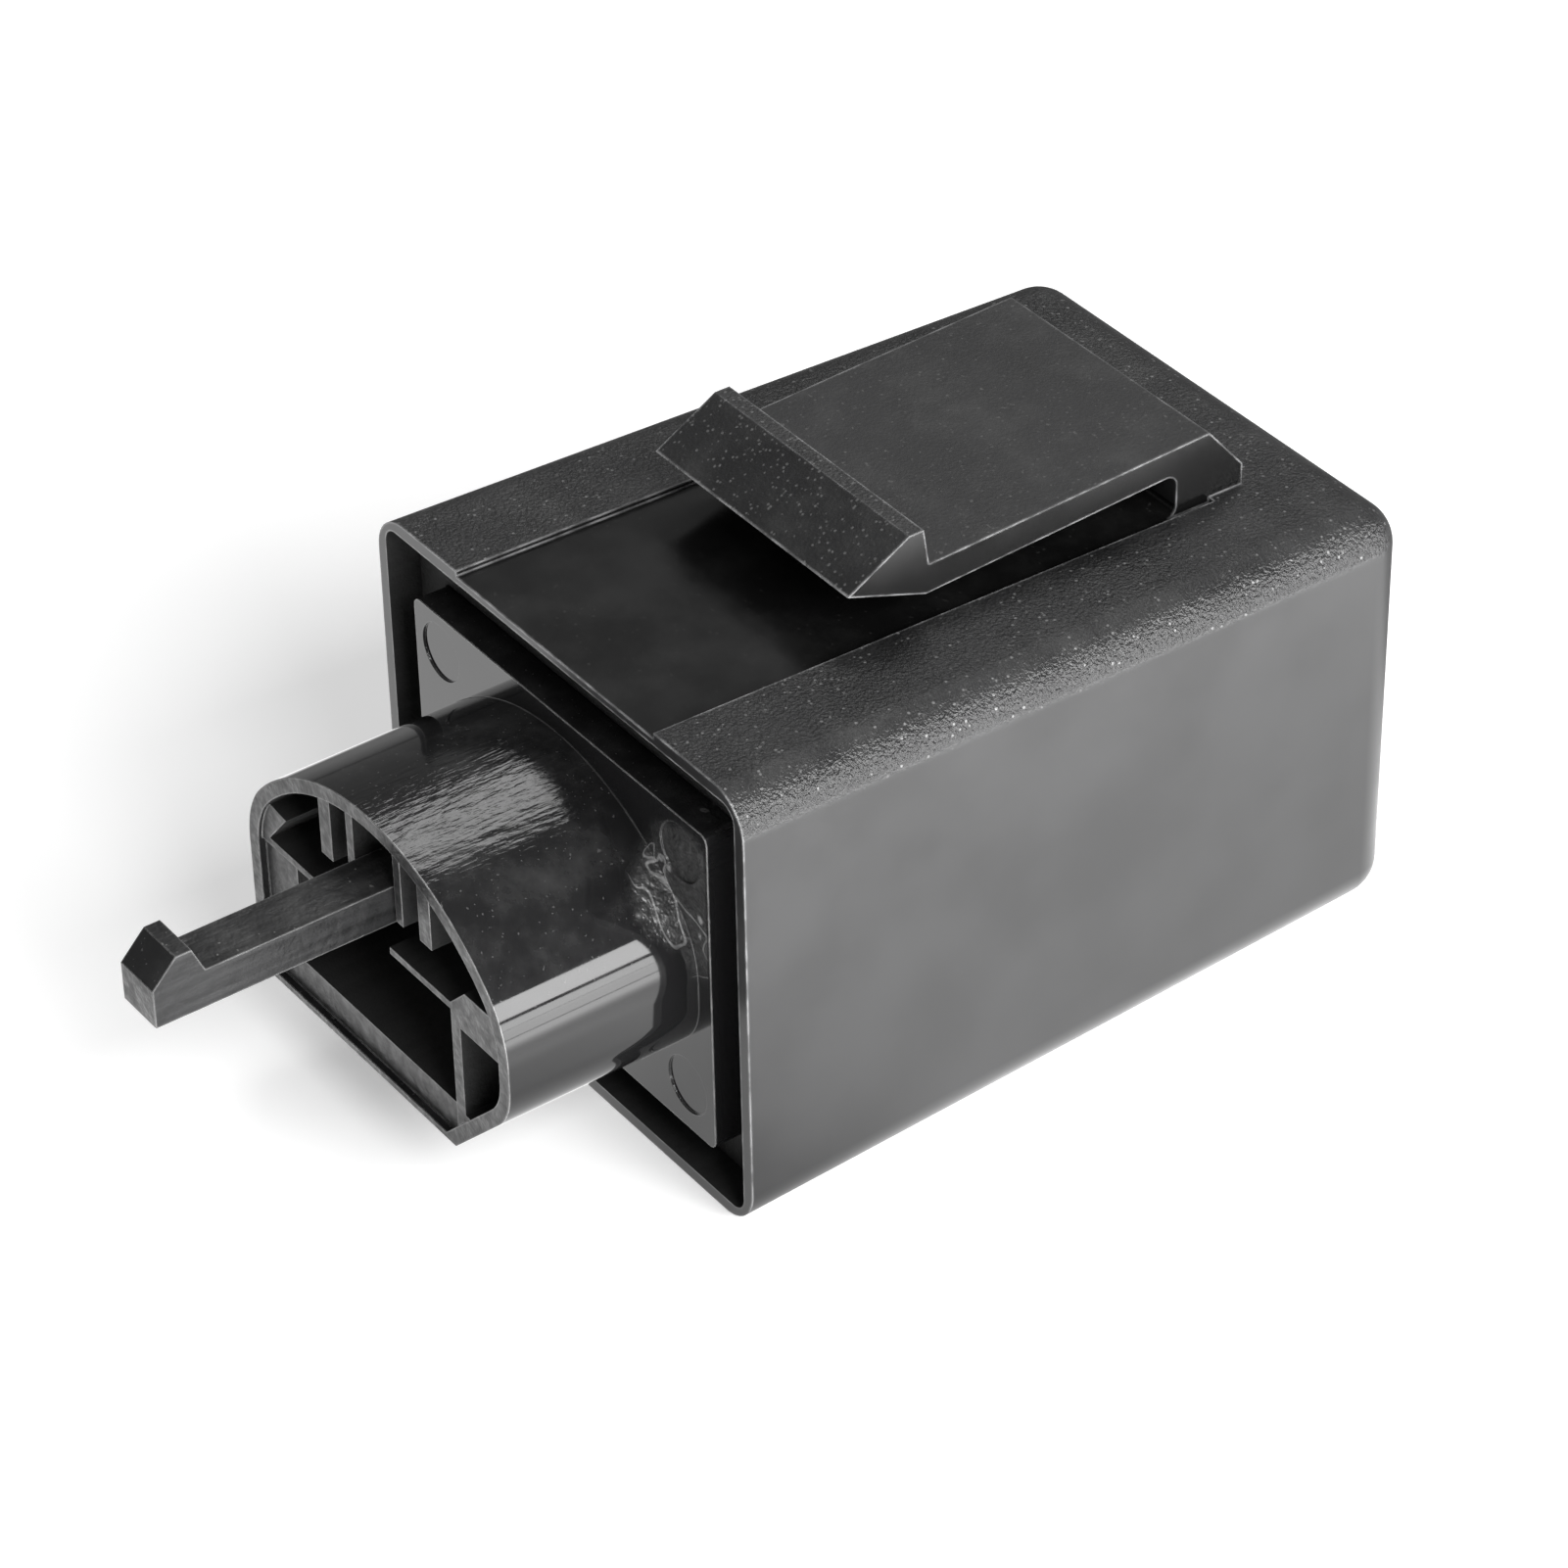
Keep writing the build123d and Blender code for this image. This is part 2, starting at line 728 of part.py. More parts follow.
# Rest contact: a longer strip beside the first, bent across behind the moving contact
rest_face = button_back + bearing_gap
with BuildPart() as rest_contact:
    with BuildSketch(Plane.XY.offset(contact_z)):
        with BuildLine():
            arm_end = rest_face + contact_thickness + contact_strip
            Polyline(
                (stop_arm_x, board_back),
                (stop_arm_x, arm_end),
                (-contact_radius, arm_end),
                (-contact_radius, arm_end - contact_strip),
                (stop_arm_x - contact_strip, arm_end - contact_strip),
                (stop_arm_x - contact_strip, board_back),
                (stop_arm_x, board_back),
            )
        make_face()
    extrude(amount=contact_radius, both=True)
    with BuildSketch(station(rest_face)):
        with Locations((0, contact_z)):
            Circle(contact_radius)
    extrude(amount=-contact_thickness)
rest_contact.part.label = "rest_contact"

# Return spring: a leaf staked on the yoke's leg, bent down behind the armature
spring_front = leg_end - spring_reach
spring_inside = armature_back + spring_clearance
spring_outside = spring_inside + spring_thickness
with BuildPart() as return_spring:
    with BuildSketch(Plane.YZ):
        with BuildLine():
            Polyline(
                (spring_front, leg_top),
                (spring_inside, leg_top),
                (spring_inside, leg_top - spring_drop),
                (spring_outside, leg_top - spring_drop),
                (spring_outside, leg_top + spring_thickness),
                (spring_front, leg_top + spring_thickness),
                (spring_front, leg_top),
            )
        make_face()
    extrude(amount=spring_width / 2, both=True)
    with BuildSketch(Plane.XY.offset(leg_top)):
        with Locations((0, leg_end - spring_reach / 2)):
            Rectangle(stake_size + 2 * fit_gap, stake_size + 2 * fit_gap)
    extrude(amount=spring_thickness, mode=Mode.SUBTRACT)
return_spring.part.label = "return_spring"

# Coil pins, from the front flange of the bobbin through the board
with BuildPart() as coil_pins:
    with BuildSketch(station(board_front)):
        with Locations(*coil_pin_places):
            Rectangle(coil_pin_size, coil_pin_size)
    extrude(amount=board_front - coil_front)
coil_pins.part.label = "coil_pins"

# Capacitor, a round can that stands over the board on two leads
can_front = board_back + lead_standoff
with BuildPart() as capacitor:
    with BuildSketch(station(can_front)):
        with Locations((capacitor_x, capacitor_z)):
            Circle(capacitor_radius)
    extrude(amount=-capacitor_length)
    chamfer(capacitor.edges().filter_by(GeomType.CIRCLE), can_bevel)
capacitor.part.label = "capacitor"

# Resistor and diode, barrels that lie over the board
resistor_middle = Vector(resistor_x, can_front + resistor_radius, resistor_z)
with BuildPart() as resistor:
    with BuildSketch(Plane(resistor_middle, z_dir=(0, 0, 1))):
        Circle(resistor_radius)
    extrude(amount=resistor_length / 2, both=True)
    chamfer(resistor.edges().filter_by(GeomType.CIRCLE), barrel_bevel)
resistor.part.label = "resistor"

diode_middle = Vector(diode_x, can_front + diode_radius, diode_z)
with BuildPart() as diode:
    with BuildSketch(Plane(diode_middle, z_dir=(1, 0, 0))):
        Circle(diode_radius)
    extrude(amount=diode_length / 2, both=True)
    chamfer(diode.edges().filter_by(GeomType.CIRCLE), barrel_bevel)
diode.part.label = "diode"

# Switching transistor, bevelled on the side that faces the relay
with BuildPart() as transistor:
    with BuildSketch(station(can_front)):
        with Locations((transistor_x, transistor_z)):
            Rectangle(transistor_depth, transistor_width)
    extrude(amount=-transistor_height)
    chamfer(transistor.edges().filter_by(Axis.Y).group_by(Axis.X)[-1], transistor_bevel)
transistor.part.label = "transistor"

# Timer chip on the front of the board, with two rows of bent pins
chip_back = board_front - chip_standoff
chip_front = chip_back - chip_thickness
pin_y = (chip_front + chip_back) / 2
with BuildPart() as timer_chip:
    with BuildSketch(station(chip_back)):
        with Locations((0, chip_z)):
            Rectangle(chip_width, chip_height)
    extrude(amount=chip_thickness)
    chamfer(timer_chip.faces().sort_by(Axis.Y)[0].edges(), chip_bevel)
    for side in (-1, 1):
        knee_z = chip_z + side * (chip_height / 2 + chip_pin_reach)
        with GridLocations(chip_pin_pitch, 1, chip_pin_count, 1) as pin_grid:
            pin_columns = [place.position.X for place in pin_grid.locations]
        for x in pin_columns:
            with BuildSketch(Plane.YZ.offset(x)):
                with Locations((pin_y, chip_z + side * chip_height / 2)):
                    Rectangle(chip_pin_thickness, 2 * chip_pin_reach)
                with Locations((pin_y, knee_z)):
                    Rectangle(
                        board_front - pin_y, chip_pin_thickness, align=(Align.MIN, Align.CENTER)
                    )
                with Locations((board_front, knee_z + side * chip_foot / 2)):
                    Rectangle(chip_pin_thickness, chip_foot, align=(Align.MAX, Align.CENTER))
            extrude(amount=chip_pin_width / 2, both=True)
timer_chip.part.label = "timer_chip"

# Leads of the capacitor, resistor, diode and transistor, through the board
lead_end = board_front - blade_tail
with BuildPart() as component_leads:
    with BuildSketch(station(lead_end)):
        with Locations(*capacitor_leads):
            Circle(lead_radius)
        with Locations(*transistor_leads):
            Rectangle(transistor_lead_size, transistor_lead_size)
    extrude(amount=lead_end - can_front)
    resistor_half = Vector(0, 0, resistor_length / 2)
    diode_half = Vector(diode_length / 2, 0, 0)
    body_ends = (
        resistor_middle - resistor_half,
        resistor_middle + resistor_half,
        diode_middle - diode_half,
        diode_middle + diode_half,
    )
    for (x, z), body_end in zip(bent_leads, body_ends):
        with BuildLine() as lead_path:
            Polyline((x, lead_end, z), (x, body_end.Y, z), body_end)
        bent_path = lead_path.wires()[0]
        with BuildSketch(Plane(bent_path @ 0, z_dir=bent_path % 0)):
            Circle(lead_radius)
        sweep(path=bent_path, transition=Transition.RIGHT)
component_leads.part.label = "component_leads"

finished = [
    outer_case,
    connector_base,
    *blades,
    sealing_compound,
    circuit_board,
    yoke,
    core,
    coil_bobbin,
    coil_winding,
    coil_pins,
    armature,
    contact_leaf,
    leaf_rivets,
    moving_contact,
    working_contact,
    rest_contact,
    return_spring,
    capacitor,
    resistor,
    diode,
    transistor,
    timer_chip,
    component_leads,
]
for piece in finished:
    export_step(piece.part, f"parts/{piece.part.label}.step")
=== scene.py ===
# %% [markdown]
# This lesson dresses a plug-in automotive relay. On the real thing a black case is moulded
# over a sealed relay, a plug shroud with a long lock arm stands in its mouth, and a clip on
# its top holds it to a bracket. The solid model already has every piece at its real size, so
# Blender only loads it, and adds edges, grain, gloss and light.

import math

import bmesh
import bpy
from mathutils import Matrix, Vector


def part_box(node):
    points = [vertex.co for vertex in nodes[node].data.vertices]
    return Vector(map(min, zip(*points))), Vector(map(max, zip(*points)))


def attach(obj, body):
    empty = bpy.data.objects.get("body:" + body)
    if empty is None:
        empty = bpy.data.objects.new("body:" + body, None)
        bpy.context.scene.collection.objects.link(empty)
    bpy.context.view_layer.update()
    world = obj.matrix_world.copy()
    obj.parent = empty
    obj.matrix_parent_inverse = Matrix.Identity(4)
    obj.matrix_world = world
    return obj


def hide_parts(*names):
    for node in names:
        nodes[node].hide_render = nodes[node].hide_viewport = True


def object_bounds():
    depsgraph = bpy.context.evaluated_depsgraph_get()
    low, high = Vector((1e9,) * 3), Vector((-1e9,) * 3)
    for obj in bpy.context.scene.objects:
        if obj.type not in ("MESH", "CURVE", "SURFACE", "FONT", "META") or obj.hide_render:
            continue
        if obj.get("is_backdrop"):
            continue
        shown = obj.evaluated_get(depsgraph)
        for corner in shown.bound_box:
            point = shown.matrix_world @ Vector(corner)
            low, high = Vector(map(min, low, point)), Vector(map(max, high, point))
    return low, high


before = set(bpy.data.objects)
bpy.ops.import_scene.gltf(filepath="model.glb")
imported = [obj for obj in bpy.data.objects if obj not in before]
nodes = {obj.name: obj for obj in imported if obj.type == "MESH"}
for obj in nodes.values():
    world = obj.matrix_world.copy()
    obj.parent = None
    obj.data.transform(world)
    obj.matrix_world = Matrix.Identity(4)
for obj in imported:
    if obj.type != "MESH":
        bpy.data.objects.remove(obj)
cad_low, cad_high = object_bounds()
MM = 0.001
print("pieces from the solid model:", len(nodes))

# %% [markdown]
# The camera comes first, because every later choice is judged through it. The photograph was
# taken from the front right and above, with a long lens that was tilted by about one degree.
# Its place was found by matching the case's straight edges, so it is given as plain numbers.

# %% Camera
CAMERA_PLACE = Vector((181.047, -115.558, 165.160)) * MM
CAMERA_AIM = Vector((-0.65289, 0.46347, -0.59911)).normalized()
CAMERA_TILT = math.radians(-1.186)
LENS = 130.9

level_right = CAMERA_AIM.cross(Vector((0, 0, 1))).normalized()
level_up = level_right.cross(CAMERA_AIM)
camera_right = level_right * math.cos(CAMERA_TILT) + level_up * math.sin(CAMERA_TILT)
camera_up = level_up * math.cos(CAMERA_TILT) - level_right * math.sin(CAMERA_TILT)
camera_turn = Matrix((camera_right, camera_up, -CAMERA_AIM)).transposed().to_4x4()

camera = bpy.data.objects.new("camera", bpy.data.cameras.new("camera"))
bpy.context.scene.collection.objects.link(camera)
camera.matrix_world = Matrix.Translation(CAMERA_PLACE) @ camera_turn
camera.data.sensor_width = 36
camera.data.lens = LENS
camera.data.clip_start = 0.01
camera.data.clip_end = 20
bpy.context.scene.camera = camera
print("camera distance in mm:", round((CAMERA_PLACE - (cad_low + cad_high) / 2).length / MM))

# %% [markdown]
# Materials and effects are built from nodes. One short helper adds a node, sets what is
# plain, and joins what comes from another node, so that a material reads like a list.


# %% A helper for nodes
def add_node(tree, kind, inputs=None, **settings):
    """Adds one node. Inputs are values or other nodes' output sockets."""
    made = tree.nodes.new(kind)
    for name, value in settings.items():
        setattr(made, name, value)
    for key, value in (inputs or {}).items():
        if isinstance(value, bpy.types.NodeSocket):
            tree.links.new(value, made.inputs[key])
        else:
            made.inputs[key].default_value = value
    return made


def math_node(tree, operation, first, second=0.0, clamp=False):
    """The result of one sum on two values."""
    made = add_node(
        tree, "ShaderNodeMath", {0: first, 1: second}, operation=operation, use_clamp=clamp
    )
    return made.outputs[0]


def ramp(tree, value, low, high, to_low=0.0, to_high=1.0):
    """Value from low to high, turned into to_low to to_high with a soft start and end."""
    made = add_node(
        tree,
        "ShaderNodeMapRange",
        {"Value": value, "From Min": low, "From Max": high, "To Min": to_low, "To Max": to_high},
        interpolation_type="SMOOTHSTEP",
    )
    return made.outputs["Result"]


def mix_colours(tree, factor, first, second):
    """First colour where factor is 0, second where it is 1."""
    made = add_node(
        tree, "ShaderNodeMix", {"Factor": factor, "A": first, "B": second}, data_type="RGBA"
    )
    return made.outputs["Result"]


print("node helpers are ready")

# %% [markdown]
# The photograph stands on a bright white sheet. The relay's sides mirror the sheet, which is
# why they are lighter than its top. A floor lit only by lamps would have to be so bright that
# the top turned grey too, so this floor gives light of its own, and more of it to the relay
# than to the camera. What each glossy face shows tells how bright the sheet was in each place:
# brightest far to the right, where a dark fold crosses it, dim under the plug, dimmer to the
# left, and without any light of its own behind the relay on the left. These dim places are
# painted shadows of the plug and the relay in the floor's own light.

# %% Floor
FLOOR_HEIGHT = cad_low.z
FLOOR_HALF = 3.0
# The paper's own light: for the camera, and for the relay near it and far to its right.
LIGHT_TO_CAMERA = 0.33
LIGHT_NEAR, LIGHT_FAR = 2.15, 4.8
FAR_FROM, FAR_TO = 40 * MM, 66 * MM
# The share of the near light that is left in each painted shadow, and where that shadow ends.
LEFT_SHADOW_SHARE, LEFT_FROM, LEFT_TO = 0.65, -40 * MM, 15 * MM
BACK_LEFT_FROM, BACK_LEFT_TO = 34 * MM, 60 * MM
PLUG_SHADOW_AT = Vector((12 * MM, -6 * MM, FLOOR_HEIGHT))
PLUG_SHADOW_SHARE, PLUG_FROM, PLUG_TO = 0.36, 7 * MM, 22 * MM
FOLD_AT = 90 * MM
FOLD_SHARE, FOLD_FROM, FOLD_TO = 0.1, 2 * MM, 4 * MM
# How white the paper is for the relay's mirror rays and for the camera.
PAPER_UNSEEN, PAPER_SEEN = (0.3, 0.3, 0.3, 1), (0.86, 0.86, 0.86, 1)

floor_mesh = bpy.data.meshes.new("floor")
corners = [(-1, -1), (1, -1), (1, 1), (-1, 1)]
floor_mesh.from_pydata(
    [(x * FLOOR_HALF, y * FLOOR_HALF, FLOOR_HEIGHT) for x, y in corners], [], [(0, 1, 2, 3)]
)
floor = bpy.data.objects.new("floor", floor_mesh)
bpy.context.scene.collection.objects.link(floor)
floor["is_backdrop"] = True

floor_paper = bpy.data.materials.new("floor_paper")
floor_paper.use_nodes = True
tree = floor_paper.node_tree
tree.nodes.clear()
seen = add_node(tree, "ShaderNodeLightPath").outputs["Is Camera Ray"]
where = add_node(tree, "ShaderNodeTexCoord").outputs["Object"]
place = add_node(tree, "ShaderNodeSeparateXYZ", {"Vector": where}).outputs
# Painted shadows: the glow the relay sees is cut back behind it on the left, to the left, and
# under the plug.
back_left = math_node(tree, "SUBTRACT", place["Y"], place["X"])
lit = ramp(tree, back_left, BACK_LEFT_FROM, BACK_LEFT_TO, 1.0, 0.0)
left_shadow = ramp(tree, place["X"], LEFT_FROM, LEFT_TO, LEFT_SHADOW_SHARE, 1.0)
from_plug = add_node(
    tree, "ShaderNodeVectorMath", {0: where, 1: PLUG_SHADOW_AT}, operation="DISTANCE"
).outputs["Value"]
plug_shadow = ramp(tree, from_plug, PLUG_FROM, PLUG_TO, PLUG_SHADOW_SHARE, 1.0)
from_fold = math_node(tree, "ABSOLUTE", math_node(tree, "SUBTRACT", place["X"], FOLD_AT))
fold = ramp(tree, from_fold, FOLD_FROM, FOLD_TO, FOLD_SHARE, 1.0)
near = math_node(tree, "MULTIPLY", math_node(tree, "MULTIPLY", lit, left_shadow), plug_shadow)
near = math_node(tree, "MULTIPLY", near, LIGHT_NEAR)
far = ramp(tree, place["X"], FAR_FROM, FAR_TO, 0.0, LIGHT_FAR)
to_relay = math_node(tree, "MULTIPLY", math_node(tree, "ADD", near, far), fold)
to_camera = math_node(tree, "MULTIPLY", seen, LIGHT_TO_CAMERA)
unseen = math_node(tree, "MULTIPLY", math_node(tree, "SUBTRACT", 1.0, seen), to_relay)
glow = add_node(
    tree, "ShaderNodeEmission", {"Strength": math_node(tree, "ADD", to_camera, unseen)}
)
white = mix_colours(tree, seen, PAPER_UNSEEN, PAPER_SEEN)
matt = add_node(tree, "ShaderNodeBsdfDiffuse", {"Color": white})
both = add_node(tree, "ShaderNodeAddShader", {0: matt.outputs[0], 1: glow.outputs[0]})
add_node(tree, "ShaderNodeOutputMaterial", {"Surface": both.outputs[0]})
floor_mesh.materials.append(floor_paper)
print("floor at", round(FLOOR_HEIGHT / MM, 2), "mm")

# %% [markdown]
# Black plastic shows mostly what it mirrors, so each highlight in the photograph says where a
# lamp stood: turned about the surface's normal, the line of sight points at it. The streak on
# the plug's crown comes from a box behind and above, and the stripes on its shoulder from two
# low boxes with a dark seam between them. A larger box above those throws the soft shadow,
# and the room stays dim, which keeps the top dark.


# %% Lights
RELAY_MIDDLE = Vector((0, 5 * MM, 0))
ROOM_LIGHT = 0.22


def soft_box(name, turn, rise, distance, width, height, power):
    """An area lamp at a compass turn and a rise in degrees, aimed at the relay's middle."""
    turn, rise = math.radians(turn), math.radians(rise)
    level = math.cos(rise)
    away = Vector((math.cos(turn) * level, math.sin(turn) * level, math.sin(rise)))
    lamp = bpy.data.lights.new(name, "AREA")
    lamp.shape = "RECTANGLE"
    lamp.size = width
    lamp.size_y = height
    lamp.energy = power
    made = bpy.data.objects.new(name, lamp)
    bpy.context.scene.collection.objects.link(made)
    made.rotation_mode = "QUATERNION"
    made.location = RELAY_MIDDLE + away * distance
    made.rotation_quaternion = (-away).to_track_quat("-Z", "Y")


soft_box("box_right", turn=-1, rise=37, distance=0.9, width=0.52, height=0.42, power=9.0)
soft_box("box_crown", turn=128, rise=55, distance=0.8, width=0.34, height=0.26, power=1.4)
soft_box("box_low", turn=27, rise=3.4, distance=0.7, width=0.50, height=0.082, power=1.1)
soft_box("box_low_upper", turn=27, rise=17.2, distance=0.7, width=0.50, height=0.19, power=3.2)

room = bpy.data.worlds.new("room")
bpy.context.scene.world = room
room.use_nodes = True
room.node_tree.nodes["Background"].inputs["Color"].default_value = (1, 1, 1, 1)
room.node_tree.nodes["Background"].inputs["Strength"].default_value = ROOM_LIGHT
bpy.context.scene.view_settings.view_transform = "Standard"

# %% [markdown]
# Several finishes share the same effects: the dull grain that spark erosion leaves in a
# mould, with its painted glints, worn edges that are lightened as a painted highlight, the
# fine marks left as a moulding is drawn out of its mould, and a little dust. Each is a node
# group with named inputs, built once here and placed in each material with its own values.
# The groups give masks and heights only, so the shader itself stays in the material.


# %% A helper for node groups
def new_group(name, inputs, outputs):
    """An empty shader node group: (tree, its inputs' sockets, its output node)."""
    tree = bpy.data.node_groups.new(name, "ShaderNodeTree")
    for label, value in inputs.items():
        socket = tree.interface.new_socket(label, in_out="INPUT", socket_type="NodeSocketFloat")
        socket.default_value = value
    for label in outputs:
        tree.interface.new_socket(label, in_out="OUTPUT", socket_type="NodeSocketFloat")
    entry = tree.nodes.new("NodeGroupInput")
    return tree, entry.outputs, tree.nodes.new("NodeGroupOutput")


def place_group(tree, group, **values):
    """The outputs of a group placed in a material. Spaces in input names are written as _."""
    made = add_node(tree, "ShaderNodeGroup", node_tree=group)
    for name, value in values.items():
        socket = made.inputs[name.replace("_", " ")]
        if isinstance(value, bpy.types.NodeSocket):
            tree.links.new(value, socket)
        else:
            socket.default_value = value
    return made.outputs


print("group helpers are ready")

# %% [markdown]
# Spark erosion covers a steel mould with tiny overlapping pits. Noise gives the pits their
# uneven depth, and a cell pattern gives single light specks for the colour: painted glints
# that stand for facets catching the light.

# %% Eroded grain
eroded_grain, given, result = new_group(
    "eroded grain", {"Size": 0.2 * MM, "Speck Share": 0.08}, ["Height", "Painted Glints"]
)
tree = eroded_grain
where = add_node(tree, "ShaderNodeTexCoord").outputs["Object"]
pits_per_metre = math_node(tree, "DIVIDE", 1.0, given["Size"])
pits = add_node(
    tree,
    "ShaderNodeTexNoise",
    {"Vector": where, "Scale": pits_per_metre, "Detail": 2.5, "Roughness": 0.6},
).outputs["Fac"]
cells = add_node(tree, "ShaderNodeTexVoronoi", {"Vector": where, "Scale": pits_per_metre})
cell_number = add_node(
    tree, "ShaderNodeSeparateColor", {"Color": cells.outputs["Color"]}
).outputs["Red"]
# Painted glints: a share of the cells becomes a mask that the materials mix a light colour into.
not_chosen = math_node(tree, "SUBTRACT", 1.0, given["Speck Share"])
chosen = math_node(tree, "GREATER_THAN", cell_number, not_chosen)
near_middle = ramp(tree, cells.outputs["Distance"], 0.25, 0.5, 1.0, 0.0)
tree.links.new(pits, result.inputs["Height"])
tree.links.new(math_node(tree, "MULTIPLY", chosen, near_middle), result.inputs["Painted Glints"])
print("group:", eroded_grain.name)

# %% [markdown]
# Handling polishes and wears a moulding's corners, and the lightened edges also stand for the
# highlights that rounded corners catch, so this mask is partly wear and partly painted
# highlight. The Bevel node gives the direction that a rounded corner would face, and where
# that differs from the real surface there is an edge.

# %% Edge wear and painted highlight
edge_wear_and_highlight, given, result = new_group(
    "edge wear and painted highlight", {"Width": 0.2 * MM, "Patchiness": 0.5}, ["Mask"]
)
tree = edge_wear_and_highlight
rounded = add_node(tree, "ShaderNodeBevel", {"Radius": given["Width"]}, samples=6).outputs[0]
flat = add_node(tree, "ShaderNodeNewGeometry").outputs["Normal"]
alike = add_node(
    tree, "ShaderNodeVectorMath", {0: rounded, 1: flat}, operation="DOT_PRODUCT"
).outputs["Value"]
edge = ramp(tree, alike, 0.997, 0.95)
where = add_node(tree, "ShaderNodeTexCoord").outputs["Object"]
patches = add_node(
    tree, "ShaderNodeTexNoise", {"Vector": where, "Scale": 900.0, "Detail": 3.0}
).outputs["Fac"]
patches = ramp(tree, patches, 0.35, 0.65)
gaps = math_node(tree, "SUBTRACT", 1.0, patches)
gaps = math_node(tree, "MULTIPLY", given["Patchiness"], gaps)
whole = math_node(tree, "SUBTRACT", 1.0, gaps)
tree.links.new(math_node(tree, "MULTIPLY", edge, whole), result.inputs["Mask"])
print("group:", edge_wear_and_highlight.name)

# %% [markdown]
# A moulding slides out of its mould along one direction, here the relay's length, and takes
# fine straight marks with it. Noise stretched along Y gives them.

# %% Draw marks
draw_marks, given, result = new_group(
    "draw marks", {"Spacing": 0.4 * MM, "Length": 30 * MM}, ["Height"]
)
tree = draw_marks
where = add_node(tree, "ShaderNodeTexCoord").outputs["Object"]
across = math_node(tree, "DIVIDE", 1.0, given["Spacing"])
along = math_node(tree, "DIVIDE", 1.0, given["Length"])
stretch = add_node(tree, "ShaderNodeCombineXYZ", {"X": across, "Y": along, "Z": across})
stretched = add_node(
    tree, "ShaderNodeVectorMath", {0: where, 1: stretch.outputs[0]}, operation="MULTIPLY"
).outputs["Vector"]
marks = add_node(
    tree, "ShaderNodeTexNoise", {"Vector": stretched, "Scale": 1.0, "Detail": 3.0}
).outputs["Fac"]
tree.links.new(marks, result.inputs["Height"])
print("group:", draw_marks.name)

# %% [markdown]
# Dust lies on whatever faces up, in uneven patches with single larger grains.

# %% Settled dust
settled_dust, given, result = new_group(
    "settled dust", {"Amount": 0.3, "Size": 0.3 * MM}, ["Mask"]
)
tree = settled_dust
facing = add_node(tree, "ShaderNodeNewGeometry").outputs["Normal"]
up = add_node(tree, "ShaderNodeSeparateXYZ", {"Vector": facing}).outputs["Z"]
where = add_node(tree, "ShaderNodeTexCoord").outputs["Object"]
film = add_node(
    tree, "ShaderNodeTexNoise", {"Vector": where, "Scale": 260.0, "Detail": 5.0, "Roughness": 0.7}
).outputs["Fac"]
grains_per_metre = math_node(tree, "DIVIDE", 1.0, given["Size"])
grains = add_node(
    tree, "ShaderNodeTexNoise", {"Vector": where, "Scale": grains_per_metre, "Detail": 1.0}
).outputs["Fac"]
film = ramp(tree, film, 0.4, 0.75, 0.0, 0.35)
grains = ramp(tree, grains, 0.7, 0.76)
cover = math_node(tree, "MAXIMUM", film, grains)
faced = math_node(tree, "MULTIPLY", cover, ramp(tree, up, 0.2, 0.9))
tree.links.new(math_node(tree, "MULTIPLY", faced, given["Amount"]), result.inputs["Mask"])
print("group:", settled_dust.name)

# %% [markdown]
# Every finish needs the same two steps: a shader with its plain values set, and a relief made
# from a height in metres. Two short helpers take care of them.


# %% A helper for materials
def new_material(name, **plain):
    """A material with a Principled shader: (material, tree, shader). Plain values go on it."""
    made = bpy.data.materials.new(name)
    made.use_nodes = True
    shader = made.node_tree.nodes["Principled BSDF"]
    for label, value in plain.items():
        shader.inputs[label.replace("_", " ")].default_value = value
    return made, made.node_tree, shader


def bump(tree, shader, height, depth, strength=1.0, under=None):
    """Feeds the shader's normal from a height that is depth metres high."""
    inputs = {"Height": height, "Distance": depth, "Strength": strength}
    if under is not None:
        inputs["Normal"] = under
    made = add_node(tree, "ShaderNodeBump", inputs)
    tree.links.new(made.outputs["Normal"], shader.inputs["Normal"])
    return made.outputs["Normal"]


print("material helpers are ready")

# %% [markdown]
# The case is black with a satin skin. Its top and rounded shoulders are eroded, its sides are
# smoother, the bracket channel is almost polished and the clip's nose is coarse. The mesh says
# how grainy each face is in an attribute, so one material serves the whole moulding.

# %% Case plastic
NOSE_SHARE = 0.65
CASE_GRAIN, CASE_GRAIN_DEPTH = 0.2 * MM, 0.18 * MM
CASE_EDGE_WIDTH = 0.19 * MM
# Painted glints: the share of grain cells lightened on the clip's nose and elsewhere.
GLINTS_ON_NOSE, GLINTS_ELSEWHERE = 0.15, 0.05
# Roughness: satin skin, how much the grain takes off it, what the top adds, polished channel.
SATIN_LOW, SATIN_HIGH = 0.32, 0.39
GRAIN_SHINE, TOP_DULLNESS = 0.17, 0.15
POLISHED_LOW, POLISHED_HIGH = 0.15, 0.26
CASE_DARK, CASE_LIGHT = (0.009, 0.009, 0.0093, 1), (0.016, 0.016, 0.0165, 1)
CASE_POLISHED = (0.004, 0.004, 0.004, 1)
# The first colour here is a painted glint; the second is dust.
CASE_GLINT, CASE_DUST = (0.2, 0.2, 0.2, 1), (0.2, 0.2, 0.195, 1)
# Light edges: partly wear, partly a painted highlight along the edges.
CASE_EDGE_WEAR_AND_HIGHLIGHT = (0.22, 0.22, 0.223, 1)

case_plastic, tree, shader = new_material("case_black", Specular_IOR_Level=0.5, IOR=1.5)
zone = add_node(tree, "ShaderNodeAttribute", attribute_name="grain").outputs["Fac"]
facing = add_node(tree, "ShaderNodeNewGeometry").outputs["Normal"]
faced = add_node(tree, "ShaderNodeSeparateXYZ", {"Vector": facing}).outputs
upward = faced["Z"]

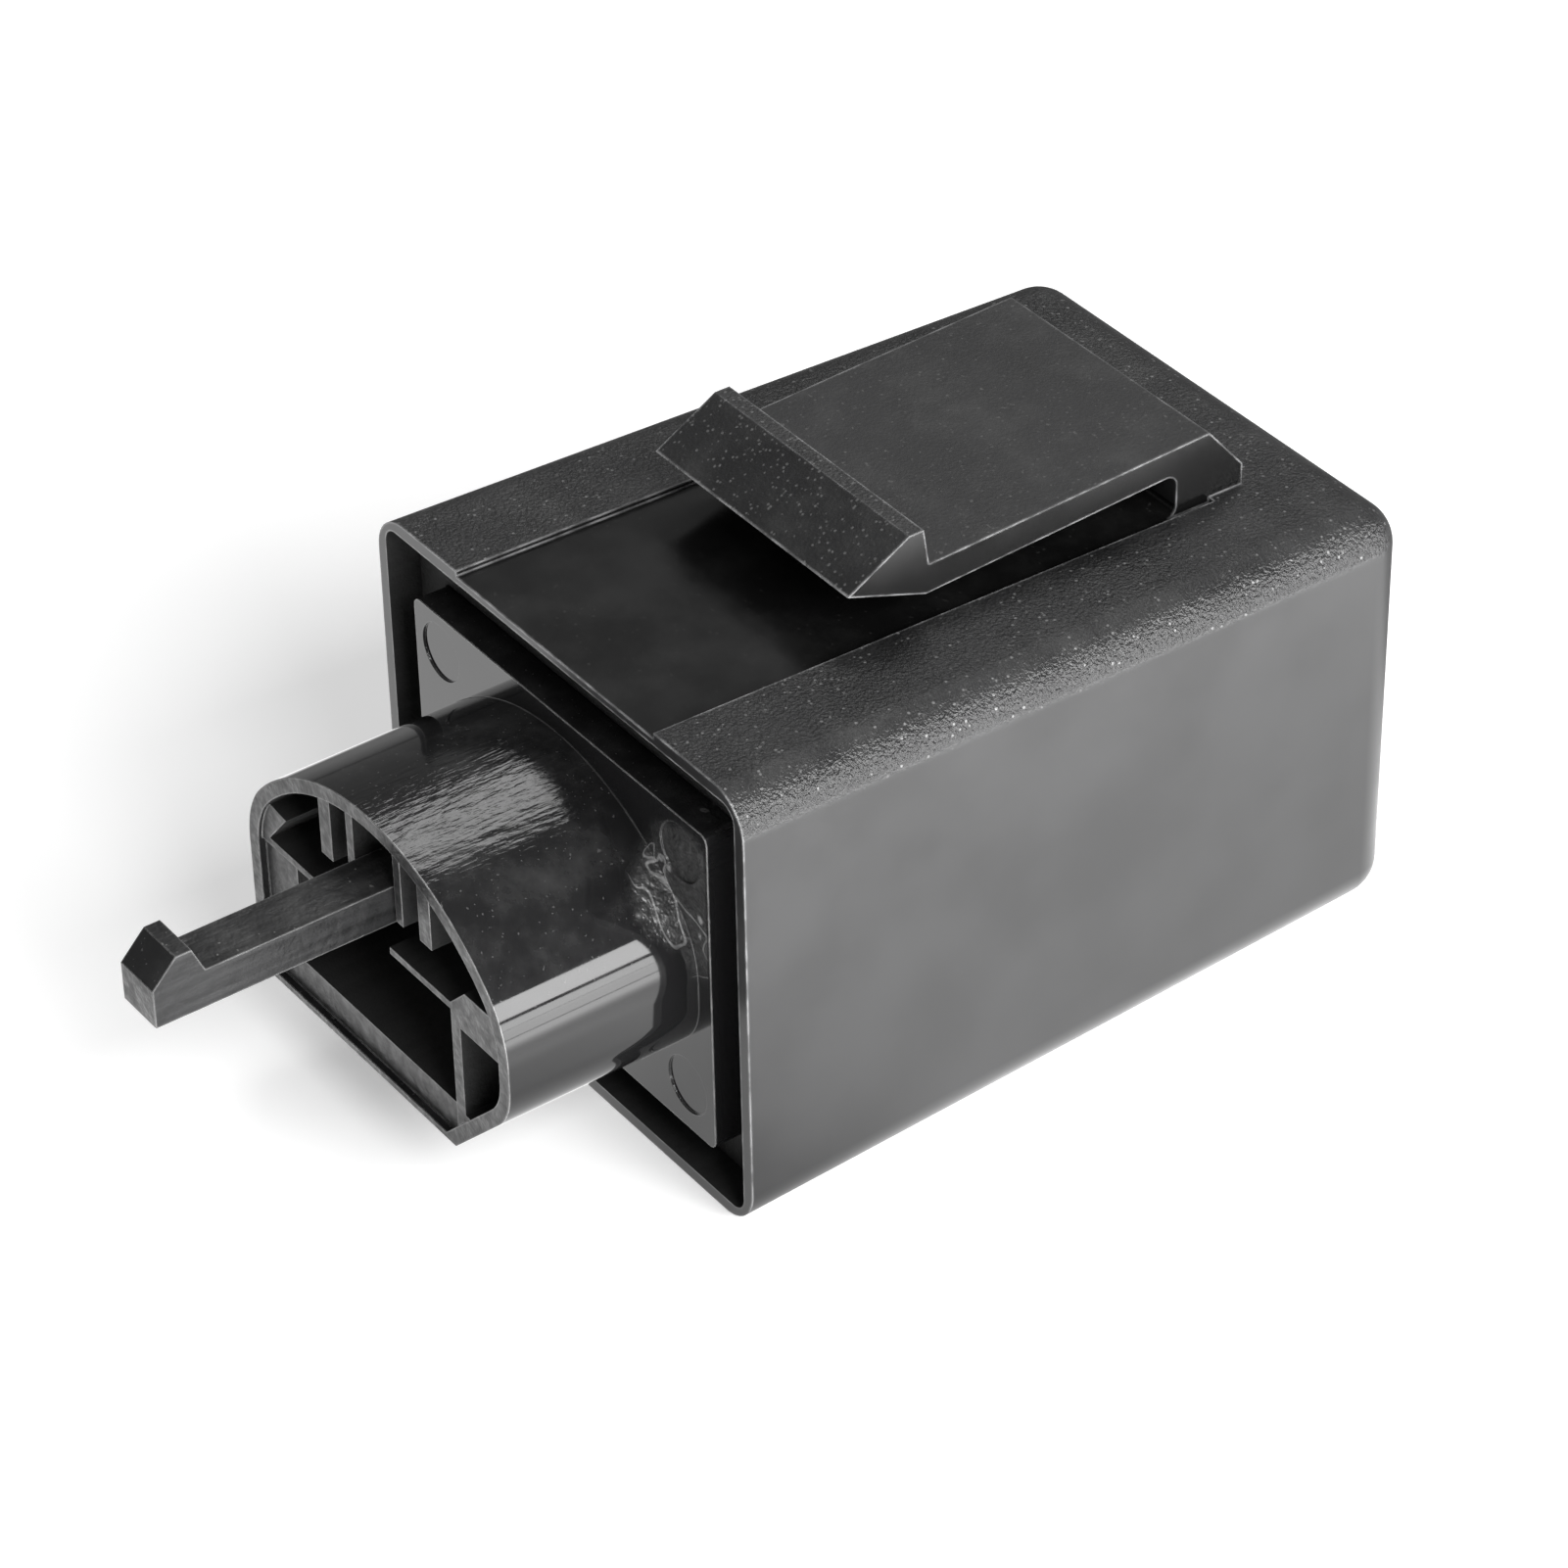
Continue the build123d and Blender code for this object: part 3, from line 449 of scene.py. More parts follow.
# The grain fades where a surface stands upright, turns to the back or lies flat.
not_upright = ramp(tree, upward, 0.02, 0.25)
not_back = ramp(tree, faced["Y"], 0.1, 0.8, 1.0, 0.25)
not_flat = ramp(tree, upward, 0.6, 0.8, 1.0, 0.6)
grainy = math_node(tree, "MULTIPLY", zone, not_upright)
grainy = math_node(tree, "MULTIPLY", grainy, not_back)
grainy = math_node(tree, "MULTIPLY", grainy, not_flat)

off_nose = math_node(tree, "ABSOLUTE", math_node(tree, "SUBTRACT", zone, NOSE_SHARE))
glint_share = ramp(tree, off_nose, 0.05, 0.1, GLINTS_ON_NOSE, GLINTS_ELSEWHERE)
grain = place_group(tree, eroded_grain, Size=CASE_GRAIN, Speck_Share=glint_share)
wear_and_highlight = place_group(tree, edge_wear_and_highlight, Width=CASE_EDGE_WIDTH, Patchiness=0.7)["Mask"]
moulded = ramp(tree, zone, 0.0, 0.15)
dusty = ramp(tree, zone, 0.0, 0.15, 0.08, 0.24)
dust = place_group(tree, settled_dust, Amount=dusty, Size=0.28 * MM)["Mask"]
where = add_node(tree, "ShaderNodeTexCoord").outputs["Object"]
cloud = add_node(
    tree, "ShaderNodeTexNoise", {"Vector": where, "Scale": 160.0, "Detail": 4.0}
).outputs["Fac"]
cloud = ramp(tree, cloud, 0.3, 0.7)
# Painted glints: light specks mixed into the colour where the grain is, whatever the light.
painted_glints = math_node(tree, "MULTIPLY", grain["Painted Glints"], grainy)

colour = mix_colours(tree, cloud, CASE_DARK, CASE_LIGHT)
colour = mix_colours(tree, moulded, CASE_POLISHED, colour)
colour = mix_colours(tree, painted_glints, colour, CASE_GLINT)
colour = mix_colours(tree, dust, colour, CASE_DUST)
# The edges are lightened: partly wear, partly painted highlight.
colour = mix_colours(tree, wear_and_highlight, colour, CASE_EDGE_WEAR_AND_HIGHLIGHT)
tree.links.new(colour, shader.inputs["Base Color"])

satin = ramp(tree, cloud, 0, 1, SATIN_LOW, SATIN_HIGH)
satin = math_node(tree, "SUBTRACT", satin, math_node(tree, "MULTIPLY", grainy, GRAIN_SHINE))
satin = math_node(tree, "ADD", satin, ramp(tree, upward, 0.7, 0.95, 0.0, TOP_DULLNESS))
polished = ramp(tree, cloud, 0, 1, POLISHED_LOW, POLISHED_HIGH)
rougher = math_node(tree, "SUBTRACT", satin, polished)
rougher = math_node(tree, "MULTIPLY", rougher, moulded)
tree.links.new(math_node(tree, "ADD", polished, rougher), shader.inputs["Roughness"])
bump(tree, shader, grain["Height"], CASE_GRAIN_DEPTH, strength=grainy)
print("material:", case_plastic.name)

# %% [markdown]
# The plug is moulded in the same black, but its mould was polished, so it is glossy enough
# to show the lamps' edges. Only its crown, which rubs along the wiring connector, is scuffed:
# there uneven streaks along its length break the highlight up. The scuffs are kept to the
# right of the crown by height and by side. At its root on the right some sealing compound was
# smeared over plug and plate and set there with a rough skin; its light specks are painted
# glints, and its light, crooked ridges are painted highlights with no relief. The light edges
# are partly wear and partly painted highlight, and the plate and the hollow round the plug's
# root are sheltered from both.

# %% Plug plastic
CROWN_FROM, CROWN_TO = 6.2 * MM, 7.2 * MM
SCUFF_FROM, SCUFF_TO = -3 * MM, -1 * MM
SCUFF_DEPTH = 0.07 * MM
PLATE_HALF_X, PLATE_HALF_Z = 12.1 * MM, 9.25 * MM
ROOT_FROM, ROOT_TO = -1.7 * MM, -1.4 * MM
# The smear: its middle, its reach with an uneven edge, its end at the plate's side.
SMEAR_AT = Vector((11.2, 3.2, 4.6)) * MM
SMEAR_FULL, SMEAR_NONE, SMEAR_UNEVEN = 4.4 * MM, 5.8 * MM, 4 * MM
SMEAR_END, SMEAR_END_FULL = 12.0 * MM, 11.8 * MM
SMEAR_GRAIN, SMEAR_DEPTH = 0.6 * MM, 0.17 * MM
# Roughness: the polished skin, and what scuffs, compound and dust add.
GLOSS_LOW, GLOSS_HIGH = 0.045, 0.075
SCUFF_DULLNESS, SMEAR_DULLNESS, DUST_DULLNESS = 0.09, 0.3, 0.3
PLUG_DARK, PLUG_DUST = (0.008, 0.008, 0.0083, 1), (0.16, 0.16, 0.16, 1)
# Light edges: partly wear, partly a painted highlight along the edges.
PLUG_EDGE_WEAR_AND_HIGHLIGHT = (0.3, 0.3, 0.3, 1)
# The smear's grey, then its painted glint colour.
SMEAR_GREY, SMEAR_GLINT = (0.045, 0.045, 0.045, 1), (0.18, 0.18, 0.18, 1)
# The painted highlight colour of the smear's crooked ridges.
SMEAR_RIDGE_HIGHLIGHT = (0.16, 0.16, 0.16, 1)

plug_plastic, tree, shader = new_material("plug_black", Specular_IOR_Level=0.5, IOR=1.5)
wear_and_highlight = place_group(tree, edge_wear_and_highlight, Width=0.12 * MM, Patchiness=0.5)["Mask"]
dust = place_group(tree, settled_dust, Amount=0.35, Size=0.2 * MM)["Mask"]
drawn = place_group(tree, draw_marks, Spacing=0.34 * MM, Length=1.6 * MM)["Height"]
rough_skin = place_group(tree, eroded_grain, Size=SMEAR_GRAIN, Speck_Share=0.06)
where = add_node(tree, "ShaderNodeTexCoord").outputs["Object"]
place = add_node(tree, "ShaderNodeSeparateXYZ", {"Vector": where}).outputs
cloud = add_node(
    tree, "ShaderNodeTexNoise", {"Vector": where, "Scale": 300.0, "Detail": 4.0}
).outputs["Fac"]

high = ramp(tree, place["Z"], CROWN_FROM, CROWN_TO)
crown = math_node(tree, "MULTIPLY", high, ramp(tree, place["X"], SCUFF_FROM, SCUFF_TO))

from_smear = add_node(
    tree, "ShaderNodeVectorMath", {0: where, 1: SMEAR_AT}, operation="DISTANCE"
).outputs["Value"]
uneven = math_node(tree, "MULTIPLY", math_node(tree, "SUBTRACT", cloud, 0.5), SMEAR_UNEVEN)
smear = ramp(tree, math_node(tree, "ADD", from_smear, uneven), SMEAR_NONE, SMEAR_FULL)
on_plate = ramp(tree, place["X"], SMEAR_END, SMEAR_END_FULL)
smear = math_node(tree, "MULTIPLY", smear, on_plate)
winding_noise = add_node(
    tree, "ShaderNodeTexNoise", {"Vector": where, "Scale": 210.0, "Detail": 1.5, "Distortion": 0.8}
).outputs["Fac"]
off_ridge = math_node(tree, "ABSOLUTE", math_node(tree, "SUBTRACT", winding_noise, 0.5))
# Painted highlights: thin light lines along crooked ridges, with no relief of their own.
ridge_highlight = math_node(tree, "MULTIPLY", ramp(tree, off_ridge, 0.009, 0.003), smear)

plate_x = math_node(tree, "DIVIDE", math_node(tree, "ABSOLUTE", place["X"]), PLATE_HALF_X)
plate_z = math_node(tree, "DIVIDE", math_node(tree, "ABSOLUTE", place["Z"]), PLATE_HALF_Z)
off_rim = ramp(tree, math_node(tree, "MAXIMUM", plate_x, plate_z), 0.975, 0.955)
at_root = ramp(tree, place["Y"], ROOT_FROM, ROOT_TO)
sheltered = math_node(tree, "MULTIPLY", off_rim, at_root)
sheltered = math_node(tree, "MAXIMUM", math_node(tree, "MULTIPLY", sheltered, 0.8), smear)
# Where sheltered, neither edge wear nor the painted edge highlight is added.
wear_and_highlight = math_node(tree, "MULTIPLY", wear_and_highlight, math_node(tree, "SUBTRACT", 1.0, sheltered))

pitted = math_node(tree, "MULTIPLY", smear, rough_skin["Height"])
# Painted glints on the smear.
smear_glints = math_node(tree, "MULTIPLY", rough_skin["Painted Glints"], smear)
colour = mix_colours(tree, dust, PLUG_DARK, PLUG_DUST)
colour = mix_colours(tree, wear_and_highlight, colour, PLUG_EDGE_WEAR_AND_HIGHLIGHT)
colour = mix_colours(tree, pitted, colour, SMEAR_GREY)
colour = mix_colours(tree, smear_glints, colour, SMEAR_GLINT)
colour = mix_colours(tree, ridge_highlight, colour, SMEAR_RIDGE_HIGHLIGHT)
tree.links.new(colour, shader.inputs["Base Color"])

gloss = ramp(tree, cloud, 0.3, 0.7, GLOSS_LOW, GLOSS_HIGH)
for mask, dullness in ((crown, SCUFF_DULLNESS), (smear, SMEAR_DULLNESS), (dust, DUST_DULLNESS)):
    gloss = math_node(tree, "ADD", gloss, math_node(tree, "MULTIPLY", mask, dullness))
tree.links.new(gloss, shader.inputs["Roughness"])

scuffed = bump(tree, shader, math_node(tree, "MULTIPLY", drawn, crown), SCUFF_DEPTH)
bump(tree, shader, rough_skin["Height"], SMEAR_DEPTH, strength=smear, under=scuffed)
print("material:", plug_plastic.name)

# %% [markdown]
# The lock arm and the fronts of the plug's walls came off an unpolished part of the mould. They
# get a duller, mottled black of their own. So do the insides of case and plug, which no light
# reaches and nothing rubs. The hook's front slope stays glossy, because it is polished each
# time it slides over its catch.

# %% Dull and inner plastic
ARM_DARK, ARM_LIGHT = (0.01, 0.01, 0.0103, 1), (0.022, 0.022, 0.0225, 1)
# The second colour is for light edges: partly wear, partly painted highlight.
ARM_DUST, ARM_EDGE_WEAR_AND_HIGHLIGHT = (0.12, 0.12, 0.118, 1), (0.17, 0.17, 0.17, 1)
INNER_DARK, INNER_LIGHT = (0.022, 0.022, 0.022, 1), (0.036, 0.036, 0.036, 1)

arm_plastic, tree, shader = new_material("arm_black", Specular_IOR_Level=0.36, IOR=1.5)
grain = place_group(tree, eroded_grain, Size=0.6 * MM, Speck_Share=0.04)
wear_and_highlight = place_group(tree, edge_wear_and_highlight, Width=0.14 * MM, Patchiness=0.55)["Mask"]
drawn = place_group(tree, draw_marks, Spacing=0.4 * MM, Length=6 * MM)["Height"]
dust = place_group(tree, settled_dust, Amount=1.0, Size=0.3 * MM)["Mask"]
colour = mix_colours(tree, ramp(tree, drawn, 0.35, 0.65), ARM_DARK, ARM_LIGHT)
colour = mix_colours(tree, dust, colour, ARM_DUST)
colour = mix_colours(tree, wear_and_highlight, colour, ARM_EDGE_WEAR_AND_HIGHLIGHT)
tree.links.new(colour, shader.inputs["Base Color"])
tree.links.new(ramp(tree, grain["Height"], 0.3, 0.7, 0.36, 0.56), shader.inputs["Roughness"])
height = math_node(tree, "ADD", grain["Height"], math_node(tree, "MULTIPLY", drawn, 0.5))
bump(tree, shader, height, 0.07 * MM)

inner_plastic, tree, shader = new_material("inner_black", Specular_IOR_Level=0.12, IOR=1.5)
grain = place_group(tree, eroded_grain, Size=0.3 * MM, Speck_Share=0.02)
drawn = place_group(tree, draw_marks, Spacing=0.5 * MM, Length=20 * MM)["Height"]
tree.links.new(mix_colours(tree, drawn, INNER_DARK, INNER_LIGHT), shader.inputs["Base Color"])
tree.links.new(ramp(tree, grain["Height"], 0.3, 0.7, 0.45, 0.6), shader.inputs["Roughness"])
bump(tree, shader, grain["Height"], 0.04 * MM)
print("materials:", arm_plastic.name, inner_plastic.name)

# %% [markdown]
# The seal behind the plug is a poured compound. It sets with a rough, slightly wrinkled face
# and is the dullest black on the relay.

# %% Sealing compound
SEAL_DARK, SEAL_LIGHT = (0.012, 0.012, 0.012, 1), (0.022, 0.022, 0.022, 1)
SEAL_DUST = (0.12, 0.12, 0.12, 1)

compound_black, tree, shader = new_material("compound_black", Specular_IOR_Level=0.15, IOR=1.5)
grain = place_group(tree, eroded_grain, Size=0.35 * MM, Speck_Share=0.05)
dust = place_group(tree, settled_dust, Amount=0.15, Size=0.3 * MM)["Mask"]
where = add_node(tree, "ShaderNodeTexCoord").outputs["Object"]
folds = add_node(
    tree, "ShaderNodeTexNoise", {"Vector": where, "Scale": 700.0, "Detail": 3.0, "Distortion": 1.5}
).outputs["Fac"]
colour = mix_colours(tree, folds, SEAL_DARK, SEAL_LIGHT)
tree.links.new(mix_colours(tree, dust, colour, SEAL_DUST), shader.inputs["Base Color"])
tree.links.new(ramp(tree, folds, 0.3, 0.7, 0.55, 0.75), shader.inputs["Roughness"])
height = math_node(tree, "ADD", folds, math_node(tree, "MULTIPLY", grain["Height"], 0.4))
bump(tree, shader, height, 0.08 * MM)
print("material:", compound_black.name)

# %% [markdown]
# Everything else is metal, wire or a small electronic part. Each of those finishes is a base
# colour that drifts a little, some roughness, and fine relief, so two helpers make them all:
# one for metals, one for plastics and resins.


# %% Finishes for metals and small parts
METAL_RELIEF, RESIN_RELIEF = 0.008 * MM, 0.02 * MM


def metal_finish(name, colour, tarnish, smooth, dull, spacing):
    """A metal with tarnish patches and drawing marks that are spacing metres apart."""
    made, tree, shader = new_material(name, Metallic=1.0)
    where = add_node(tree, "ShaderNodeTexCoord").outputs["Object"]
    patches = add_node(
        tree, "ShaderNodeTexNoise", {"Vector": where, "Scale": 420.0, "Detail": 5.0}
    ).outputs["Fac"]
    patches = ramp(tree, patches, 0.42, 0.68)
    wear_and_highlight = place_group(tree, edge_wear_and_highlight, Width=0.1 * MM, Patchiness=0.4)["Mask"]
    drawn = place_group(tree, draw_marks, Spacing=spacing, Length=6 * MM)["Height"]
    tone = mix_colours(tree, patches, colour, tarnish)
    bright = tuple(min(1.0, c * 1.25) for c in colour[:3]) + (1,)
    tree.links.new(mix_colours(tree, wear_and_highlight, tone, bright), shader.inputs["Base Color"])
    tree.links.new(ramp(tree, patches, 0, 1, smooth, dull), shader.inputs["Roughness"])
    bump(tree, shader, drawn, METAL_RELIEF)
    return made


def resin_finish(name, colour, other, smooth, dull, pit_size):
    """A plastic, lacquer or resin with a mottled colour, fine pits and worn edges."""
    made, tree, shader = new_material(name, IOR=1.5)
    where = add_node(tree, "ShaderNodeTexCoord").outputs["Object"]
    mottle = add_node(
        tree, "ShaderNodeTexNoise", {"Vector": where, "Scale": 600.0, "Detail": 4.0}
    ).outputs["Fac"]
    mottle = ramp(tree, mottle, 0.35, 0.65)
    grain = place_group(tree, eroded_grain, Size=pit_size, Speck_Share=0.03)
    wear_and_highlight = place_group(tree, edge_wear_and_highlight, Width=0.12 * MM, Patchiness=0.6)["Mask"]
    lighter = tuple(0.7 * c + 0.12 for c in colour[:3]) + (1,)
    tone = mix_colours(tree, mottle, colour, other)
    tree.links.new(mix_colours(tree, wear_and_highlight, tone, lighter), shader.inputs["Base Color"])
    tree.links.new(ramp(tree, mottle, 0, 1, smooth, dull), shader.inputs["Roughness"])
    bump(tree, shader, grain["Height"], RESIN_RELIEF)
    return made


print("finish helpers are ready")

# %% Metals
# Colour, tarnish, roughness where smooth and where dull, spacing of the drawing marks.
METALS = {
    "blade_tin": ((0.62, 0.61, 0.58, 1), (0.36, 0.35, 0.33, 1), 0.24, 0.42, 0.2 * MM),
    "wire_tin": ((0.7, 0.7, 0.69, 1), (0.45, 0.45, 0.44, 1), 0.2, 0.35, 0.1 * MM),
    "magnet_iron": ((0.52, 0.51, 0.47, 1), (0.34, 0.33, 0.3, 1), 0.3, 0.5, 0.3 * MM),
    "enamelled_copper": ((0.7, 0.25, 0.1, 1), (0.45, 0.13, 0.05, 1), 0.16, 0.3, 0.2 * MM),
    "bright_copper_alloy": ((0.74, 0.42, 0.2, 1), (0.5, 0.27, 0.13, 1), 0.22, 0.4, 0.2 * MM),
    "brass": ((0.75, 0.55, 0.24, 1), (0.5, 0.36, 0.17, 1), 0.22, 0.4, 0.2 * MM),
    "contact_silver": ((0.82, 0.81, 0.78, 1), (0.5, 0.47, 0.42, 1), 0.2, 0.5, 0.2 * MM),
    "leaf_steel": ((0.58, 0.58, 0.57, 1), (0.42, 0.41, 0.39, 1), 0.2, 0.32, 0.1 * MM),
    "solder": ((0.66, 0.66, 0.65, 1), (0.5, 0.5, 0.49, 1), 0.18, 0.36, 0.3 * MM),
}
metals = {name: metal_finish(name, *values) for name, values in METALS.items()}
print("metals:", ", ".join(metals))

# %% Plastics, lacquers and resins
# Colour, other colour, roughness where smooth and where dull, size of the pits.
RESINS = {
    "board_green": ((0.02, 0.12, 0.05, 1), (0.03, 0.16, 0.07, 1), 0.25, 0.4, 0.3 * MM),
    "bobbin_cream": ((0.5, 0.47, 0.38, 1), (0.45, 0.42, 0.33, 1), 0.38, 0.5, 0.2 * MM),
    "sleeve_blue": ((0.015, 0.03, 0.12, 1), (0.02, 0.04, 0.16, 1), 0.22, 0.34, 0.2 * MM),
    "lacquer_sand": ((0.42, 0.3, 0.17, 1), (0.36, 0.25, 0.13, 1), 0.3, 0.45, 0.2 * MM),
    "epoxy_black": ((0.02, 0.02, 0.021, 1), (0.03, 0.03, 0.03, 1), 0.4, 0.55, 0.12 * MM),
}
resins = {name: resin_finish(name, *values) for name, values in RESINS.items()}
print("plastics and resins:", ", ".join(resins))

# %% [markdown]
# Each solid that keeps its own mesh only needs its finish. The slot names in the model's
# record say what every solid is made of, so a short list from slot to finish dresses all.

# %% Dress the solids
FINISH_OF_SLOT = {
    "case_plastic": case_plastic,
    "base_plastic": plug_plastic,
    "compound": compound_black,
    "tinned_brass": metals["blade_tin"],
    "board_laminate": resins["board_green"],
    "magnet_steel": metals["magnet_iron"],
    "bobbin_plastic": resins["bobbin_cream"],
    "copper_wire": metals["enamelled_copper"],
    "tinned_wire": metals["wire_tin"],
    "spring_bronze": metals["bright_copper_alloy"],
    "brass": metals["brass"],
    "contact_silver": metals["contact_silver"],
    "spring_steel": metals["leaf_steel"],
    "capacitor_sleeve": resins["sleeve_blue"],
    "resistor_coat": resins["lacquer_sand"],
    "black_epoxy": resins["epoxy_black"],
}
dressed = 0
for solid in nodes.values():
    for holder in solid.material_slots:
        slot_name = holder.material.name.split(".")[0]
        if slot_name in FINISH_OF_SLOT:
            holder.material = FINISH_OF_SLOT[slot_name]
            dressed += 1
print("dressed", dressed, "of", len(nodes), "solids")

# %% [markdown]
# No moulded or poured corner is perfectly sharp. A small rounding along each hard edge is
# what catches the light in the photograph. The solid's mesh is loose triangles, so a copy
# is merged, its flat regions are joined into single faces, and only then are its hard edges
# bevelled. Weighted normals keep the large faces flat in the shading.


# %% A bevelled copy of a solid
MERGE_WITHIN = 0.002 * MM
FLAT_WITHIN, HARD_FROM = math.radians(0.4), math.radians(28)


def bevelled_copy(name, node, width, segments=2):
    """A new mesh object: the node's shape with its hard edges rounded by width metres."""
    shape = bmesh.new()
    shape.from_mesh(nodes[node].data)
    bmesh.ops.remove_doubles(shape, verts=shape.verts, dist=MERGE_WITHIN)
    bmesh.ops.dissolve_limit(
        shape, angle_limit=FLAT_WITHIN, verts=shape.verts, edges=shape.edges
    )
    for face in shape.faces:
        face.smooth = True
    mesh = bpy.data.meshes.new(name)
    shape.to_mesh(mesh)
    shape.free()
    made = bpy.data.objects.new(name, mesh)
    bpy.context.scene.collection.objects.link(made)
    edges = made.modifiers.new("edges", "BEVEL")
    edges.width = width
    edges.segments = segments
    edges.limit_method = "ANGLE"
    edges.angle_limit = HARD_FROM
    edges.use_clamp_overlap = True
    shading = made.modifiers.new("shading", "WEIGHTED_NORMAL")
    shading.keep_sharp = True
    ready = made.evaluated_get(bpy.context.evaluated_depsgraph_get())
    made.data = bpy.data.meshes.new_from_object(ready)
    made.modifiers.clear()
    made.data.name = name
    bpy.data.meshes.remove(mesh)
    print(name, "has", len(made.data.polygons), "faces")
    return made


def take_over(piece, node, body, slot, *finishes):
    """The piece stands for the solid, moves with its body and gets its finishes."""
    piece.data.materials.clear()
    for finish in finishes:
        piece.data.materials.append(finish)
    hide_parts(node)
    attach(piece, body)


# %% Case, plug and seal
case_skin = bevelled_copy("case_skin", "outer_case", 0.13 * MM)
plug_skin = bevelled_copy("plug_skin", "connector_base", 0.09 * MM)
seal_skin = bevelled_copy("seal_skin", "sealing_compound", 0.04 * MM)
take_over(case_skin, "outer_case", "relay", "case_plastic", case_plastic, inner_plastic)
take_over(
    plug_skin, "connector_base", "relay", "base_plastic", plug_plastic, arm_plastic, inner_plastic
)
take_over(seal_skin, "sealing_compound", "relay", "compound", compound_black)

# %% [markdown]
# Each moulding has more than one finish. A face's middle and direction tell which region it
# belongs to, because the regions are plain: the inside of the case lies within its walls, the
# arm stands in front of the plug, and the pockets lie inside the plug's outline.

# %% Inner and dull regions
CASE_RIM_BACK = 0.05 * MM
CASE_INNER_HALF_X, CASE_INNER_HALF_Z = 14.45 * MM, 12.05 * MM
CASE_NARROWS_X, CASE_NARROWS_Z = 0.02, 0.025
FACES_OUTWARD = 1 * MM
PLUG_FRONT = -10.6 * MM
WALL_FRONT = -10.1 * MM
POCKETS_FROM, POCKETS_TO = -10.3 * MM, -0.02 * MM
CROWN_CENTRE, CROWN_INNER = -5.175 * MM, 12.5 * MM
SHOULDER_X, SHOULDER_INNER = 5.6 * MM, 4.85 * MM
SIDE_INNER, FLOOR_INNER, CORNER_CUT = 10.45 * MM, -7.5 * MM, 13 * MM
ARM_HALF, ARM_BOTTOM, ARM_TOP = 1.4 * MM, 2.4 * MM, 4.5 * MM
ARM_ROOT, ARM_SLACK = -1 * MM, 0.1 * MM
FRONTAL, SLOPING = -0.9, -0.5
OUTER_FINISH, CASE_INNER_FINISH = 0, 1
PLUG_DULL_FINISH, PLUG_INNER_FINISH = 1, 2


def inside_case(place, facing):
    """True for a face within the case's walls, behind its rim, that doesn't face outward."""
    return (
        place.y > CASE_RIM_BACK
        and abs(place.x) < CASE_INNER_HALF_X - CASE_NARROWS_X * place.y
        and abs(place.z) < CASE_INNER_HALF_Z - CASE_NARROWS_Z * place.y
        and place.x * facing.x + place.z * facing.z < FACES_OUTWARD
    )


def inside_plug(place):
    """True for a place within the plug's outline, behind the front of its partitions."""
    x, z = place.x, place.z
    shouldered = z > 0 and abs(x) > SHOULDER_X
    within_arch = math.hypot(x, z - CROWN_CENTRE) < CROWN_INNER
    within_shoulder = math.hypot(abs(x) - SHOULDER_X, z) < SHOULDER_INNER
    within_sides = abs(x) < SIDE_INNER and z > FLOOR_INNER and z > x - CORNER_CUT
    within = within_sides and (within_shoulder if shouldered else within_arch)
    return within and POCKETS_FROM < place.y < POCKETS_TO


def on_arm(place):
    """True for a place on the lock arm, in front of the plug or within it."""
    in_width = abs(place.x) < ARM_HALF + ARM_SLACK
    in_height = ARM_BOTTOM - ARM_SLACK < place.z < ARM_TOP + ARM_SLACK
    return place.y < PLUG_FRONT or (in_width and in_height and place.y < ARM_ROOT)


for face in case_skin.data.polygons:
    inner = inside_case(face.center, face.normal)
    face.material_index = CASE_INNER_FINISH if inner else OUTER_FINISH
for face in plug_skin.data.polygons:
    wall_front = face.center.y < WALL_FRONT and face.normal.y < FRONTAL
    hook_slope = face.center.y < PLUG_FRONT and FRONTAL < face.normal.y < SLOPING
    if wall_front or (on_arm(face.center) and not hook_slope):
        face.material_index = PLUG_DULL_FINISH
    elif inside_plug(face.center):
        face.material_index = PLUG_INNER_FINISH
inner_faces = sum(f.material_index == CASE_INNER_FINISH for f in case_skin.data.polygons)
print("inner faces of the case:", inner_faces)

# %% [markdown]
# Now the mesh says how grainy each region of the case is. The top and its rounded shoulders
# came off an eroded mould wall, the nose of the clip is coarse, and the floor of the channel
# and the clip's sides are polished by the bracket. The numbers are shares of the full grain
# and are kept in an attribute on the mesh's corners. The case's sides are smooth because the
# material lets the grain fade out where a surface stops facing up or turns to the back.


# %% Grain zones of the case
CHANNEL_HALF = 8.2 * MM
CHANNEL_TOP = 12.5 * MM
NOSE_BACK = 16 * MM
CLIP_BACK = 35 * MM
SIDEWAYS = 0.9
FULL_SHARE, TONGUE_SHARE, NO_SHARE = 1.0, 0.2, 0.0


def grain_at(place, facing, half_width):
    """The share of full grain on a face of the case: its middle, direction and reach from x 0."""
    if half_width > CHANNEL_HALF:
        return FULL_SHARE
    if place.z < CHANNEL_TOP:
        return FULL_SHARE if place.y > CLIP_BACK else NO_SHARE
    if abs(facing.x) > SIDEWAYS:
        return NO_SHARE
    return NOSE_SHARE if place.y < NOSE_BACK else TONGUE_SHARE


zones = case_skin.data.attributes.new("grain", "FLOAT", "CORNER")
for face in case_skin.data.polygons:
    half_width = max(abs(case_skin.data.vertices[v].co.x) for v in face.vertices)
    share = grain_at(face.center, face.normal, half_width)
    for corner in face.loop_indices:
        zones.data[corner].value = share
print("corners with a grain share:", len(zones.data))

# %% [markdown]
# The coil is wound with enamelled wire, turn beside turn. A winding follows a rule exactly, so
# Geometry Nodes make it: a spiral curve with the wire's round section swept along it. Its
# inputs are the coil's radius and length and the wire's diameter.


